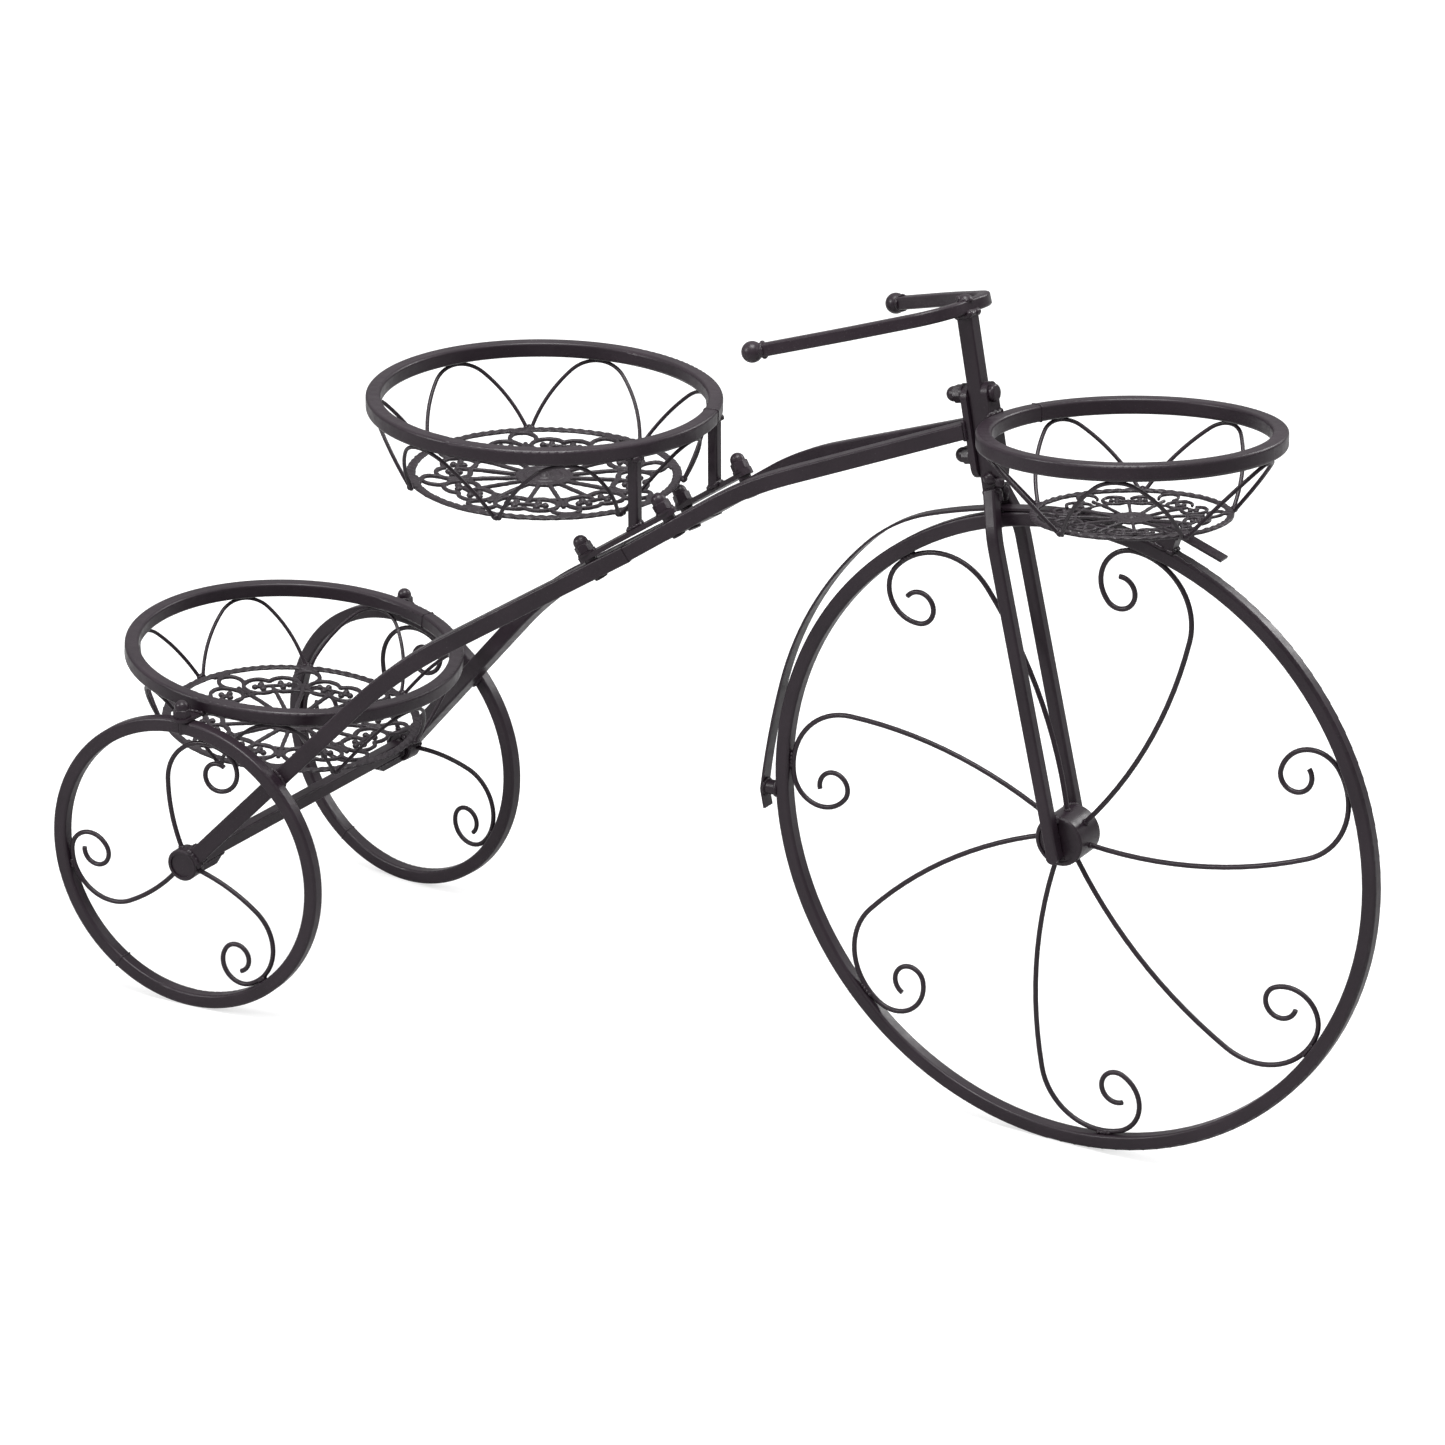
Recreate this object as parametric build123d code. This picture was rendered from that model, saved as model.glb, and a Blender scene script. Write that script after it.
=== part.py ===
from build123d import *
import os
from math import cos, radians, sin, tan

# A tricycle planter of black steel: one big front wheel, two small rear wheels, and three round
# baskets that each hold a flower pot. +X is the front, +Y the left side, +Z up, and the wheels
# stand on Z = 0. Lengths are in millimetres and angles in degrees.

# Fits between the pieces
touch_gap = 0.1
strap_gap = 0.25
bolt_clearance = 0.2
socket_clearance = 0.15

# Wheels
front_wheel_radius = 203.2
rear_wheel_radius = 100.6
wheel_tube_width = 9.5
wheel_tube_height = 9.2
wheel_tube_rounding = 1.8
wheelbase = 578.0
rear_track = 243.0
toe_in = 4.8
front_hub_radius = 15.8
front_hub_length = 25.0
rear_hub_radius = 10.8
rear_hub_length = 12.0
hub_chamfer = 1.0
hub_face_recess = 1.0
hub_lip = 2.6
spoke_wire = 3.2
spoke_root = 4.5

# Where each scroll spoke meets its rim, seen from the right side
front_spoke_angles = (21.0, 75.2, 125.6, 177.3, 224.4, 279.1, 328.0)
right_spoke_angles = (73.8, 190.9, 307.3)
left_spoke_angles = (79.0, 178.0, 328.0)

# A scroll starts on the hub, at an angle from its rim point, and runs on through tangent arcs,
# each a radius share and a turn. Shares are of the reach from the axle to the rim.
front_scroll_root_share = 0.0774
front_scroll_root_angle = -33.0
front_scroll_heading = -26.6
front_scroll_shares = ((1.498, 29.0), (0.2105, 99.5), (0.1063, 134.4), (0.0521, 230.4))
rear_scroll_root_share = 0.1438
rear_scroll_root_angle = 33.0
rear_scroll_heading = 36.4
rear_scroll_shares = ((1.333, -21.7), (0.3396, -119.1), (0.1626, -151.2), (0.1051, -211.6))

# Steerer and fork
steerer_size = 10.0
steerer_rounding = 1.2
steerer_foot_setback = 54.2
steerer_foot_z = 407.0
steerer_rake = 10.6
fork_leg_size = 8.0
fork_leg_rounding = 1.5
fork_bend = 35.0
fork_shoulder_setback = 45.0
fork_shoulder_z = 388.0
fork_crown_spread = 6.0
fork_crown_setback = 53.5
fork_crown_z = 413.0
fork_foot_below_hub = 8.0

# Handlebar, welded on the steerer a little turned and tilted
handlebar_size = 8.0
handlebar_rounding = 1.6
handlebar_centre_z = 521.5
handlebar_cross_width = 52.6
handlebar_arm = 100.9
handlebar_end_width = 135.2
handlebar_bow = 3.0
handlebar_bend = 27.0
handlebar_bow_bend = 240.0
handlebar_pitch = 16.9
handlebar_turn = -7.3
handlebar_tilt = -1.1
ball_diameter = 13.0
ball_neck_diameter = 9.0
ball_neck_length = 3.0
bar_bolt_radius = 5.0
bar_bolt_height = 3.6

# M6 fasteners
bolt_radius = 3.0
bolt_head_radius = 5.4
bolt_head_height = 3.4
low_head_radius = 4.4
low_head_height = 1.2
nut_across_flats = 10.0
nut_hex_height = 5.2
nut_dome_radius = 4.7
nut_height = 11.2
nut_thread_depth = 8.0
washer_radius = 6.2
washer_thickness = 1.4

# Head joint: the frame's plate behind the steerer and the basket's plate in front of it
head_plate_width = 15.0
head_plate_height = 56.0
head_plate_thickness = 4.0
head_joint_z = 447.5
head_bolts_z = 451.9
head_bolt_spacing = 37.2
basket_plate_width = 14.0
basket_plate_height = 60.0
basket_plate_thickness = 4.0

# Fender strip over the front wheel. It touches the wheel between two angles. Behind them its arcs
# are a share of the wheel's radius and a turn, and ahead of them it runs straight to one bend.
fender_width = 9.0
fender_thickness = 1.6
fender_contact_angle = 95.4
fender_lift_angle = 94.0
fender_rear_shares = ((1.777, 12.6), (0.535, 26.1), (1.074, 31.3), (2.8, 7.4), (0.05, 18.6))
fender_rear_tip = 10.5
fender_front_run = 59.0
fender_front_bend = 48.0
fender_front_turn = 24.0
fender_front_tail = 33.8
fender_stud_angle = 183.6
fender_stud_radius = 4.7
fender_block_angle = 73.0
fender_block_length = 11.0
fender_block_height = 16.0

# Frame tubes: a front half that slides into a rear half, on each side. A place on them is given
# by its setback behind the front axle, its spread from the middle and its height.
front_tube_size = 10.0
rear_tube_size = 11.0
tongue_size = 8.6
tube_rounding = 1.4
head_tube_spread = 5.2
front_tube_start_setback = 64.0
front_tube_start_z = 451.1
front_tube_bend_setback = 204.9
front_tube_bend_z = 398.0
front_tube_bend_radius = 240.0
splice_setback = 281.0
splice_spread = 49.9
splice_z = 346.7
socket_depth = 15.0
rear_tube_bend_setback = 430.5
rear_tube_bend_z = 252.9
rear_tube_bend_radius = 320.0
rear_tube_end_ahead = 3.0
rear_tube_end_rise = 1.0
rim_weld_ahead = 66.0

# Splice straps and the seat posts that stand on them
strap_width = 10.0
strap_thickness = 3.0
strap_front_setback = 251.0
strap_rear_setback = 300.8
strap_end_overhang = 7.0
spacer_radius = 4.2
spacer_height = 2.0
post_size = 7.0
post_rounding = 1.6
post_setback = 277.7
post_spread = 46.0
post_foot_length = 10.0
post_foot_height = 12.0

# Rear axle
axle_size = 9.0
axle_rounding = 1.4
gusset_length = 30.0
gusset_height = 5.6
gusset_thickness = 6.0
gusset_slope = 8.0

# Lugs that carry the rear basket on the rear wheels
lug_width = 13.6
lug_thickness = 2.2
lug_bolt_spread = 123.0
lug_inset = 108.8
lug_ahead = 3.5

# Baskets
basket_tube_width = 9.5
basket_tube_height = 10.0
basket_tube_rounding = 2.0
basket_wire = 2.5
arch_foot_gap = 1.3
foot_weld_radius = 2.2
grille_thickness = 2.6
seat_rim_radius = 111.4
seat_floor_radius = 86.7
seat_depth = 51.2
seat_setback = 373.5
seat_top_z = 420.0
seat_pitch = 1.5
seat_arches = 7
seat_arch_turn = 1.5
seat_floor_turn = 22.5
rear_rim_radius = 111.6
rear_floor_radius = 86.0
rear_depth = 52.0
rear_basket_ahead = 2.4
rear_basket_pitch = 5.0
rear_arches = 7
rear_arch_turn = -9.0
rear_floor_turn = 5.5
front_rim_radius = 90.3
front_floor_radius = 59.5
front_depth = 49.2
front_top_z = 465.0
front_pitch = -3.5
front_lean = -3.7
front_arches = 5
front_arch_turn = 3.0
front_floor_turn = 0.0
rim_weld_bite = 0.4

# A basket wire's arch is three tangent arcs. Its headings at the foot and where the crown starts:
arch_foot_heading = 81.0
arch_crown_heading = 50.0

# Grille pattern, as shares of the floor's radius
large_sectors = 8
small_sectors = 6
band_share = 0.072
disc_share = 0.195
disc_drop_share = 0.3
bead_share = 0.138
bead_width_share = 0.022
boss_share = 0.07
bar_share = 0.034
wall_share = 0.034
ring_share = 0.127
ring_place_share = 0.657
ring_turn_sector_share = 0.19
lobe_share = 0.098
lobe_place_share = 0.80
link_place_share = 0.545
leaf_share = 0.03
leaf_spread_share = 0.042
keystone_width_share = 0.15

# Places worked out from the sizes above
rear_rim_reach = rear_rim_radius * cos(radians(rear_basket_pitch)) - rear_basket_ahead
front_axle_x = (wheelbase + rear_rim_reach - front_wheel_radius) / 2
half_track = rear_track / 2


def ahead(setback):
    """The X of a place that lies a setback behind the front axle."""
    return front_axle_x - setback


def bar_along(path, size, rounding, side):
    """A square bar with rounded edges along a path, one pair of its faces square to side."""
    start = Plane(origin=path @ 0, x_dir=side, z_dir=path % 0)
    return sweep(start * RectangleRounded(size, size, rounding), path)


def upright(shape):
    """Stands a wheel's shape, drawn in XY, up in XZ as it is seen from the right."""
    return Rot(90, 0, 0) * shape


# Wheels


def wheel_rim(radius):
    """A square tube rolled to a ring."""
    middle = radius - wheel_tube_height / 2
    section = RectangleRounded(wheel_tube_height, wheel_tube_width, wheel_tube_rounding)
    return upright(revolve(Plane.XZ * Pos(middle, 0, 0) * section, Axis.Z))


def wheel_hub(radius, length):
    """A turned drum with a shallow recess in each face."""
    drum = Cylinder(radius, length)
    drum = chamfer(drum.edges().filter_by(GeomType.CIRCLE), hub_chamfer)
    for side in (1, -1):
        face_z = side * (length - hub_face_recess) / 2
        drum -= Pos(0, 0, face_z) * Cylinder(radius - hub_lip, hub_face_recess)
    return upright(drum)


def arc_chain(point, direction, arcs):
    """Tangent arcs one after another, each a radius and a turn, a left turn being positive."""
    edges = []
    for radius, turn in arcs:
        edge = JernArc(point, direction, radius, turn)
        edges.append(edge)
        point = edge @ 1
        direction = edge % 1
    return edges


def straight_on(edge, length):
    """A straight run that carries on from an edge's end."""
    return Line(edge @ 1, edge @ 1 + (edge % 1) * length)


def scroll(wheel_radius, hub_radius, root_share, root_angle, heading, shares):
    """One spoke wire in XY that leaves the hub, touches the rim on +X and curls back."""
    reach = wheel_radius - wheel_tube_height - spoke_wire / 2 - touch_gap
    foot = Vector(root_share * reach, 0, 0).rotate(Axis.Z, root_angle)
    direction = Vector(1, 0, 0).rotate(Axis.Z, heading)
    arcs = [(share * reach, turn) for share, turn in shares]
    root = Line(foot - direction * spoke_root, foot)
    path = Wire([root] + arc_chain(foot, direction, arcs))
    wire = sweep(Plane(origin=path @ 0, z_dir=path % 0) * Circle(spoke_wire / 2), path)
    return wire - Cylinder(hub_radius, wheel_tube_width)


def spokes(one_scroll, angles):
    """A wheel's scrolls, turned to where each one meets the rim."""
    return upright(Compound(children=[Rot(0, 0, angle) * one_scroll for angle in angles]))


def rear_wheel_place(side):
    """A rear wheel's middle, its front turned in towards the centre line."""
    return Pos(ahead(wheelbase), side * half_track, rear_wheel_radius) * Rot(0, 0, -side * toe_in)


# Steerer, fork and handlebar


def steerer_place(z):
    """The steerer's frame at a height: +Z up its length and +X square to its front face."""
    setback = steerer_foot_setback + (z - steerer_foot_z) * tan(radians(steerer_rake))
    return Pos(ahead(setback), 0, z) * Rot(0, -steerer_rake, 0)


def steerer_tube():
    """The raked tube, its top cut flat under the handlebar."""
    length = (handlebar_centre_z - steerer_foot_z) / cos(radians(steerer_rake))
    section = RectangleRounded(steerer_size, steerer_size, steerer_rounding)
    tube = steerer_place(steerer_foot_z) * extrude(section, length)
    depth = 2 * steerer_size
    above = Box(depth, depth, depth, align=(Align.CENTER, Align.CENTER, Align.MIN))
    return tube - handlebar_place() * Pos(0, 0, -handlebar_size / 2 - touch_gap) * above


def fork_leg():
    """The left leg: down from the crown, out to the hub's face, and straight down past the axle."""
    spread = (front_hub_length + fork_leg_size) / 2 + touch_gap
    points = [
        (ahead(0), spread, front_wheel_radius - fork_foot_below_hub),
        (ahead(fork_shoulder_setback), spread, fork_shoulder_z),
        (ahead(fork_crown_setback), fork_crown_spread, fork_crown_z),
    ]
    leg = bar_along(FilletPolyline(*points, radius=fork_bend), fork_leg_size, fork_leg_rounding, (0, 1, 0))
    toe = Pos(*points[0]) * Rot(90, 0, 0) * Cylinder(fork_leg_size / 2, fork_leg_size)
    return leg + toe


def handlebar_place():
    """The handlebar's frame: its arms run back along -X, in its own XY plane."""
    setback = steerer_foot_setback + (handlebar_centre_z - steerer_foot_z) * tan(radians(steerer_rake))
    centre = Pos(ahead(setback), 0, handlebar_centre_z)
    return centre * Rot(handlebar_tilt, 0, 0) * Rot(0, 0, handlebar_turn) * Rot(0, -handlebar_pitch, 0)


def handlebar_line():
    """A cross piece and two arms that bow outwards a little, drawn on the left and mirrored."""
    half_cross = handlebar_cross_width / 2
    half_end = handlebar_end_width / 2
    half_bow = (half_cross + half_end) / 2 + handlebar_bow
    left = [(-handlebar_arm, half_end), (-handlebar_arm / 2, half_bow), (0, half_cross)]
    right = [(x, -y) for x, y in reversed(left)]
    bends = [handlebar_bow_bend, handlebar_bend, handlebar_bend, handlebar_bow_bend]
    return FilletPolyline(*left, *right, radius=bends)


def handlebar():
    return handlebar_place() * bar_along(handlebar_line(), handlebar_size, handlebar_rounding, (0, 0, 1))


def handlebar_ball(end):
    """A ball with a short neck on one end of the handlebar, 0 for the left and 1 for the right."""
    line = handlebar_line()
    outward = line % end if end else -(line % end)
    base = Align.CENTER, Align.CENTER, Align.MIN
    neck = Cylinder(ball_neck_diameter / 2, ball_neck_length, align=base)
    radius = ball_diameter / 2
    rise = (radius**2 - (ball_neck_diameter / 2) ** 2) ** 0.5
    ball = Pos(0, 0, ball_neck_length + rise) * Sphere(radius)
    tip = Plane(origin=line @ end + outward * touch_gap, z_dir=outward)
    return handlebar_place() * (tip * (neck + ball))


def handlebar_bolt():
    """The low domed head that holds the handlebar down on the steerer."""
    radius = (bar_bolt_radius**2 + bar_bolt_height**2) / (2 * bar_bolt_height)
    base = Align.CENTER, Align.CENTER, Align.MIN
    cap = Pos(0, 0, bar_bolt_height - radius) * Sphere(radius)
    cap &= Cylinder(bar_bolt_radius, bar_bolt_height, align=base)
    return handlebar_place() * Pos(0, 0, handlebar_size / 2) * cap


# Fasteners. Each is drawn along +Z, with the nut on top.


def bolt_hole(length):
    return Cylinder(bolt_radius + bolt_clearance, length)


def acorn_nut():
    """A hexagon with a dome, bored from below."""
    base = Align.CENTER, Align.CENTER, Align.MIN
    hexagon = extrude(RegularPolygon(nut_across_flats / 2, 6, major_radius=False), nut_hex_height)
    dome_base = nut_height - nut_dome_radius
    dome = Cylinder(nut_dome_radius, dome_base, align=base) + Pos(0, 0, dome_base) * Sphere(nut_dome_radius)
    bore = Cylinder(bolt_radius + bolt_clearance, nut_thread_depth, align=base)
    return hexagon + dome - bore


def washer():
    base = Align.CENTER, Align.CENTER, Align.MIN
    return Cylinder(washer_radius, washer_thickness, align=base) - bolt_hole(4 * washer_thickness)


def shank(length):
    return Cylinder(bolt_radius, length, align=(Align.CENTER, Align.CENTER, Align.MIN))


def bolt(length, head_radius, head_height):
    """A shank from Z = 0 up into its nut, with its rounded head under Z = 0."""
    head = Cylinder(head_radius, head_height)
    head = fillet(head.edges().sort_by(Axis.Z)[0], head_height / 2)
    return shank(length) + Pos(0, 0, -head_height / 2) * head


# Head joint


def head_bolt_places():
    """The two head bolts, their nuts to the rear, at the front face of the basket's plate."""
    reach = steerer_size / 2 + basket_plate_thickness
    half = head_bolt_spacing / 2
    middle = steerer_place(head_bolts_z)
    return [middle * Pos(reach, 0, offset) * Rot(0, -90, 0) for offset in (half, -half)]


def head_holes():
    stack = basket_plate_thickness + steerer_size + head_plate_thickness
    return [place * bolt_hole(4 * stack) for place in head_bolt_places()]


def joint_plate(width, height, thickness, face_x):
    """A plate with half-round ends, flat against a face of the steerer."""
    outline = SlotOverall(height, width, rotation=90)
    flat = extrude(outline, thickness / 2, both=True)
    stood = Rot(0, 0, 90) * Rot(90, 0, 0) * flat
    plate = steerer_place(head_joint_z) * Pos(face_x, 0, 0) * stood
    for hole in head_holes():
        plate -= hole
    return plate


def head_plate():
    middle = -(steerer_size + head_plate_thickness) / 2
    return joint_plate(head_plate_width, head_plate_height, head_plate_thickness, middle)


def basket_plate():
    middle = (steerer_size + basket_plate_thickness) / 2
    return joint_plate(basket_plate_width, basket_plate_height, basket_plate_thickness, middle)


# Fender


def fender_contact_radius():
    return front_wheel_radius + 2 * touch_gap


def fender_halves(width, thickness):
    """The strip as two bent bars that start where it leaves the wheel's top."""
    radius = fender_contact_radius()
    start = Vector(radius, 0, 0).rotate(Axis.Z, fender_lift_angle)
    backward = Vector(0, 1, 0).rotate(Axis.Z, fender_lift_angle)
    over_top = [(radius, fender_contact_angle - fender_lift_angle)]
    rear_arcs = [(share * front_wheel_radius, turn) for share, turn in fender_rear_shares]
    rear_edges = arc_chain(start, backward, over_top + rear_arcs)
    run = Line(start, start - backward * fender_front_run)
    bend = arc_chain(run @ 1, -backward, [(fender_front_bend, -fender_front_turn)])
    rear = Wire(rear_edges + [straight_on(rear_edges[-1], fender_rear_tip)])
    front = Wire([run, *bend, straight_on(bend[-1], fender_front_tail)])
    halves = []
    for path, align in ((rear, Align.MIN), (front, Align.MAX)):
        place = Plane(origin=path @ 0, x_dir=(0, 0, 1), z_dir=path % 0)
        section = Rectangle(width, thickness, align=(Align.CENTER, align))
        halves.append(sweep(place * section, path))
    return halves[0] + halves[1]


def fender_space():
    """All that lies outside the strip's inner face, to cut its two spacers to length."""
    return fender_halves(2 * fender_width, fender_block_height)


def fender_spacer(angle, shape):
    """A spacer between the wheel and the strip, its foot on the wheel's tread."""
    foot = front_wheel_radius + touch_gap
    return Rot(0, 0, angle) * Pos(foot, 0, 0) * Rot(0, 90, 0) * shape - fender_space()


def fender_stud():
    base = Align.CENTER, Align.CENTER, Align.MIN
    return fender_spacer(fender_stud_angle, Cylinder(fender_stud_radius, fender_block_height, align=base))


def fender_block():
    base = Align.CENTER, Align.CENTER, Align.MIN
    shape = Box(fender_width, fender_block_length, fender_block_height, align=base)
    return fender_spacer(fender_block_angle, shape)


# Frame tubes, drawn on the left side


def splice_point():
    return Vector(ahead(splice_setback), splice_spread, splice_z)


def along(start, end, setback):
    """The point between two places that lies at a setback."""
    share = (ahead(setback) - start.X) / (end.X - start.X)
    return start + (end - start) * share


def front_tube_points():
    """Head end, bend and splice, with the tube running straight out in plan."""
    contact = steerer_size / 2 + head_plate_thickness
    head = steerer_place(head_joint_z) * Pos(-contact, 0, 0)
    slope = (splice_spread - head_tube_spread) / (head.position.X - ahead(splice_setback))
    points = []
    for setback, z in (
        (front_tube_start_setback, front_tube_start_z),
        (front_tube_bend_setback, front_tube_bend_z),
    ):
        spread = head_tube_spread + (head.position.X - ahead(setback)) * slope
        points.append(Vector(ahead(setback), spread, z))
    return points + [splice_point()]


def rear_tube_points():
    """Splice, bend and the end on the hub, with the tube lying on the rim's inner face."""
    rim_y = half_track - rim_weld_ahead * tan(radians(toe_in))
    weld_spread = rim_y - (wheel_tube_width + rear_tube_size) / 2
    slope = (weld_spread - splice_spread) / (wheelbase - rim_weld_ahead - splice_setback)
    points = [splice_point()]
    for setback, z in (
        (rear_tube_bend_setback, rear_tube_bend_z),
        (wheelbase - rear_tube_end_ahead, rear_wheel_radius + rear_tube_end_rise),
    ):
        spread = splice_spread + (setback - splice_setback) * slope
        points.append(Vector(ahead(setback), spread, z))
    return points


def level_side(points):
    """The level direction square to a tube's run in plan."""
    run = points[-1] - points[0]
    return Vector(-run.Y, run.X, 0).normalized()


def tongue(size):
    """The front tube's drawn-in end, which lies inside the rear tube."""
    points = rear_tube_points()
    run = (points[1] - points[0]).normalized()
    line = Line(points[0] - run * socket_depth / 4, points[0] + run * socket_depth)
    return bar_along(line, size, tube_rounding, level_side(points))


def behind_splice():
    """All that lies behind the rear tube's front end."""
    points = rear_tube_points()
    depth = 2 * socket_depth
    block = Box(depth, depth, depth, align=(Align.CENTER, Align.CENTER, Align.MIN))
    return Plane(origin=points[0], z_dir=points[1] - points[0]).location * Pos(0, 0, -touch_gap) * block


def front_tube():
    points = front_tube_points()
    run = (points[2] - points[1]).normalized()
    reach = [*points[:2], points[2] + run * front_tube_size / 4]
    line = FilletPolyline(*reach, radius=front_tube_bend_radius)
    tube = bar_along(line, front_tube_size, tube_rounding, level_side(points)) - behind_splice()
    tube += tongue(tongue_size)
    depth = head_plate_height
    front_of_plate = Box(depth, depth, 2 * depth, align=(Align.MIN, Align.CENTER, Align.CENTER))
    contact = steerer_size / 2 + head_plate_thickness
    tube -= steerer_place(head_joint_z) * Pos(-contact, 0, 0) * front_of_plate
    return tube - strap_place(strap_front_setback) * bolt_hole(4 * rear_tube_size)


def rear_tube():
    points = rear_tube_points()
    line = FilletPolyline(*points, radius=rear_tube_bend_radius)
    tube = bar_along(line, rear_tube_size, tube_rounding, level_side(points))
    tube -= tongue(tongue_size + 2 * socket_clearance)
    tube -= rear_wheel_place(1) * upright(Cylinder(rear_hub_radius, 4 * rear_hub_length))
    tube -= rear_wheel_place(1) * wheel_rim(rear_wheel_radius)
    return tube - strap_place(strap_rear_setback) * bolt_hole(4 * rear_tube_size)


# Splice straps, their fasteners and the seat posts, on the left side


def strap_place(setback):
    """A frame on the tubes' middle line: +X back along the strap and +Z square to its face."""
    front_points = front_tube_points()
    rear_points = rear_tube_points()
    front_bolt = along(front_points[1], front_points[2], strap_front_setback)
    rear_bolt = along(rear_points[0], rear_points[1], strap_rear_setback)
    run = rear_bolt - front_bolt
    side = Vector(-run.Y, run.X, 0)
    upward = side.cross(run) * (1 if side.cross(run).Z > 0 else -1)
    place = Plane(origin=along(front_bolt, rear_bolt, setback), x_dir=run, z_dir=upward)
    return place.location


def strap_base():
    """How high the strap's underside lies over the tubes' middle line."""
    return rear_tube_size / 2 + spacer_height


def strap_bolt_setbacks():
    return (strap_front_setback, strap_rear_setback)


def splice_strap():
    middle = strap_place((strap_front_setback + strap_rear_setback) / 2)
    ends = [strap_place(setback).position for setback in strap_bolt_setbacks()]
    length = (ends[1] - ends[0]).length + 2 * strap_end_overhang
    flat = extrude(SlotOverall(length, strap_width), strap_thickness)
    strap = middle * Pos(0, 0, strap_base()) * flat
    for setback in strap_bolt_setbacks():
        strap -= strap_place(setback) * bolt_hole(8 * strap_thickness)
    return strap


def strap_spacers():
    """A collar on each bolt, between the tube and the strap."""
    base = Align.CENTER, Align.CENTER, Align.MIN
    collars = []
    for setback, size in ((strap_front_setback, front_tube_size), (strap_rear_setback, rear_tube_size)):
        foot = size / 2 + strap_gap
        height = strap_base() - foot
        collar = Cylinder(spacer_radius, height, align=base) - bolt_hole(4 * height)
        collars.append(strap_place(setback) * Pos(0, 0, foot) * collar)
    return collars


def on_strap_bolts(shape, height):
    return [strap_place(setback) * Pos(0, 0, height) * shape for setback in strap_bolt_setbacks()]


def strap_bolts():
    bolts = []
    for setback, size in ((strap_front_setback, front_tube_size), (strap_rear_setback, rear_tube_size)):
        foot = -size / 2 - strap_gap
        top = strap_base() + strap_thickness + washer_thickness + nut_thread_depth - 2 * touch_gap
        one = bolt(top - foot, low_head_radius, low_head_height)
        bolts.append(strap_place(setback) * Pos(0, 0, foot) * one)
    return bolts


def seat_post():
    """A square post from the strap to the seat's rim, with a flared foot."""
    foot_z = splice_z
    height = seat_top_z - foot_z
    post = extrude(RectangleRounded(post_size, post_size, post_rounding), height)
    flare = Polyline(
        (post_foot_length, 0),
        (-post_size / 2, 0),
        (-post_size / 2, post_foot_height),
        (0, post_foot_height),
        close=True,
    )
    middle = Pos(ahead(post_setback), post_spread, foot_z)
    strap_top = strap_place(post_setback)
    top_z = strap_base() + strap_thickness
    rise = (strap_top * Pos(0, 0, top_z)).position.Z - foot_z
    foot = extrude(make_face(flare), post_size / 2 - post_rounding, both=True)
    post += Pos(0, 0, rise) * Rot(90, 0, 0) * foot
    post = middle * post
    below = Box(splice_setback, splice_setback, height, align=(Align.CENTER, Align.CENTER, Align.MAX))
    post -= strap_top * Pos(0, 0, top_z) * below
    above = Box(splice_setback, splice_setback, height, align=(Align.CENTER, Align.CENTER, Align.MIN))
    return post - seat_place() * Pos(0, 0, -basket_tube_height - touch_gap) * above


# Rear axle and basket lugs


def rear_axle():
    length = rear_track - rear_hub_length - 2 * touch_gap
    flat = RectangleRounded(axle_size, axle_size, axle_rounding)
    bar = Pos(ahead(wheelbase), 0, rear_wheel_radius) * upright(extrude(flat, length / 2, both=True))
    for side in (1, -1):
        bar -= rear_wheel_place(side) * wheel_hub(rear_hub_radius, rear_hub_length)
    return bar


def axle_gusset():
    """The left gusset: a short bar under the axle, cut to a slope at its inner end."""
    top = rear_wheel_radius - axle_size / 2 - touch_gap
    outer = half_track - rear_hub_length / 2 - touch_gap
    inner = outer - gusset_length
    outline = Polyline(
        (outer, top),
        (outer, top - gusset_height),
        (inner + gusset_slope, top - gusset_height),
        (inner, top),
        close=True,
    )
    plate = extrude(Plane.YZ * make_face(outline), gusset_thickness / 2, both=True)
    return Pos(ahead(wheelbase), 0, 0) * plate - rear_wheel_place(1) * upright(
        Cylinder(rear_hub_radius, rear_hub_length)
    )


def lug_base_z():
    return 2 * rear_wheel_radius + touch_gap


def lug():
    """The left lug: a flat tab with a round end, welded under the rear basket's rim."""
    base = Align.CENTER, Align.MIN, Align.MIN
    tab = Pos(0, lug_inset, 0) * Box(lug_width, lug_bolt_spread - lug_inset, lug_thickness, align=base)
    end = Cylinder(lug_width / 2, lug_thickness, align=(Align.CENTER, Align.CENTER, Align.MIN))
    tab += Pos(0, lug_bolt_spread, 0) * end
    tab -= Pos(0, lug_bolt_spread, 0) * bolt_hole(4 * lug_thickness)
    placed = Pos(ahead(wheelbase - lug_ahead), 0, lug_base_z()) * tab
    return placed - rear_basket_place() * basket_rim(rear_rim_radius)


def lug_bolt_place(side, z):
    return Pos(ahead(wheelbase - lug_ahead), side * lug_bolt_spread, z)


def lug_bolt_hole(side):
    depth = 2 * wheel_tube_height
    return lug_bolt_place(side, 2 * rear_wheel_radius) * bolt_hole(2 * depth)


def lug_bolt(side):
    foot = 2 * rear_wheel_radius - wheel_tube_height
    top = lug_base_z() + lug_thickness + nut_thread_depth - touch_gap
    return lug_bolt_place(side, foot) * shank(top - foot)


# Baskets, each drawn with the top of its rim on Z = 0


def seat_place():
    return Pos(ahead(seat_setback), 0, seat_top_z) * Rot(0, seat_pitch, 0)


def rear_basket_place():
    top_z = lug_base_z() + lug_thickness + touch_gap + basket_tube_height
    return Pos(ahead(wheelbase - rear_basket_ahead), 0, top_z) * Rot(0, rear_basket_pitch, 0)


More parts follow.
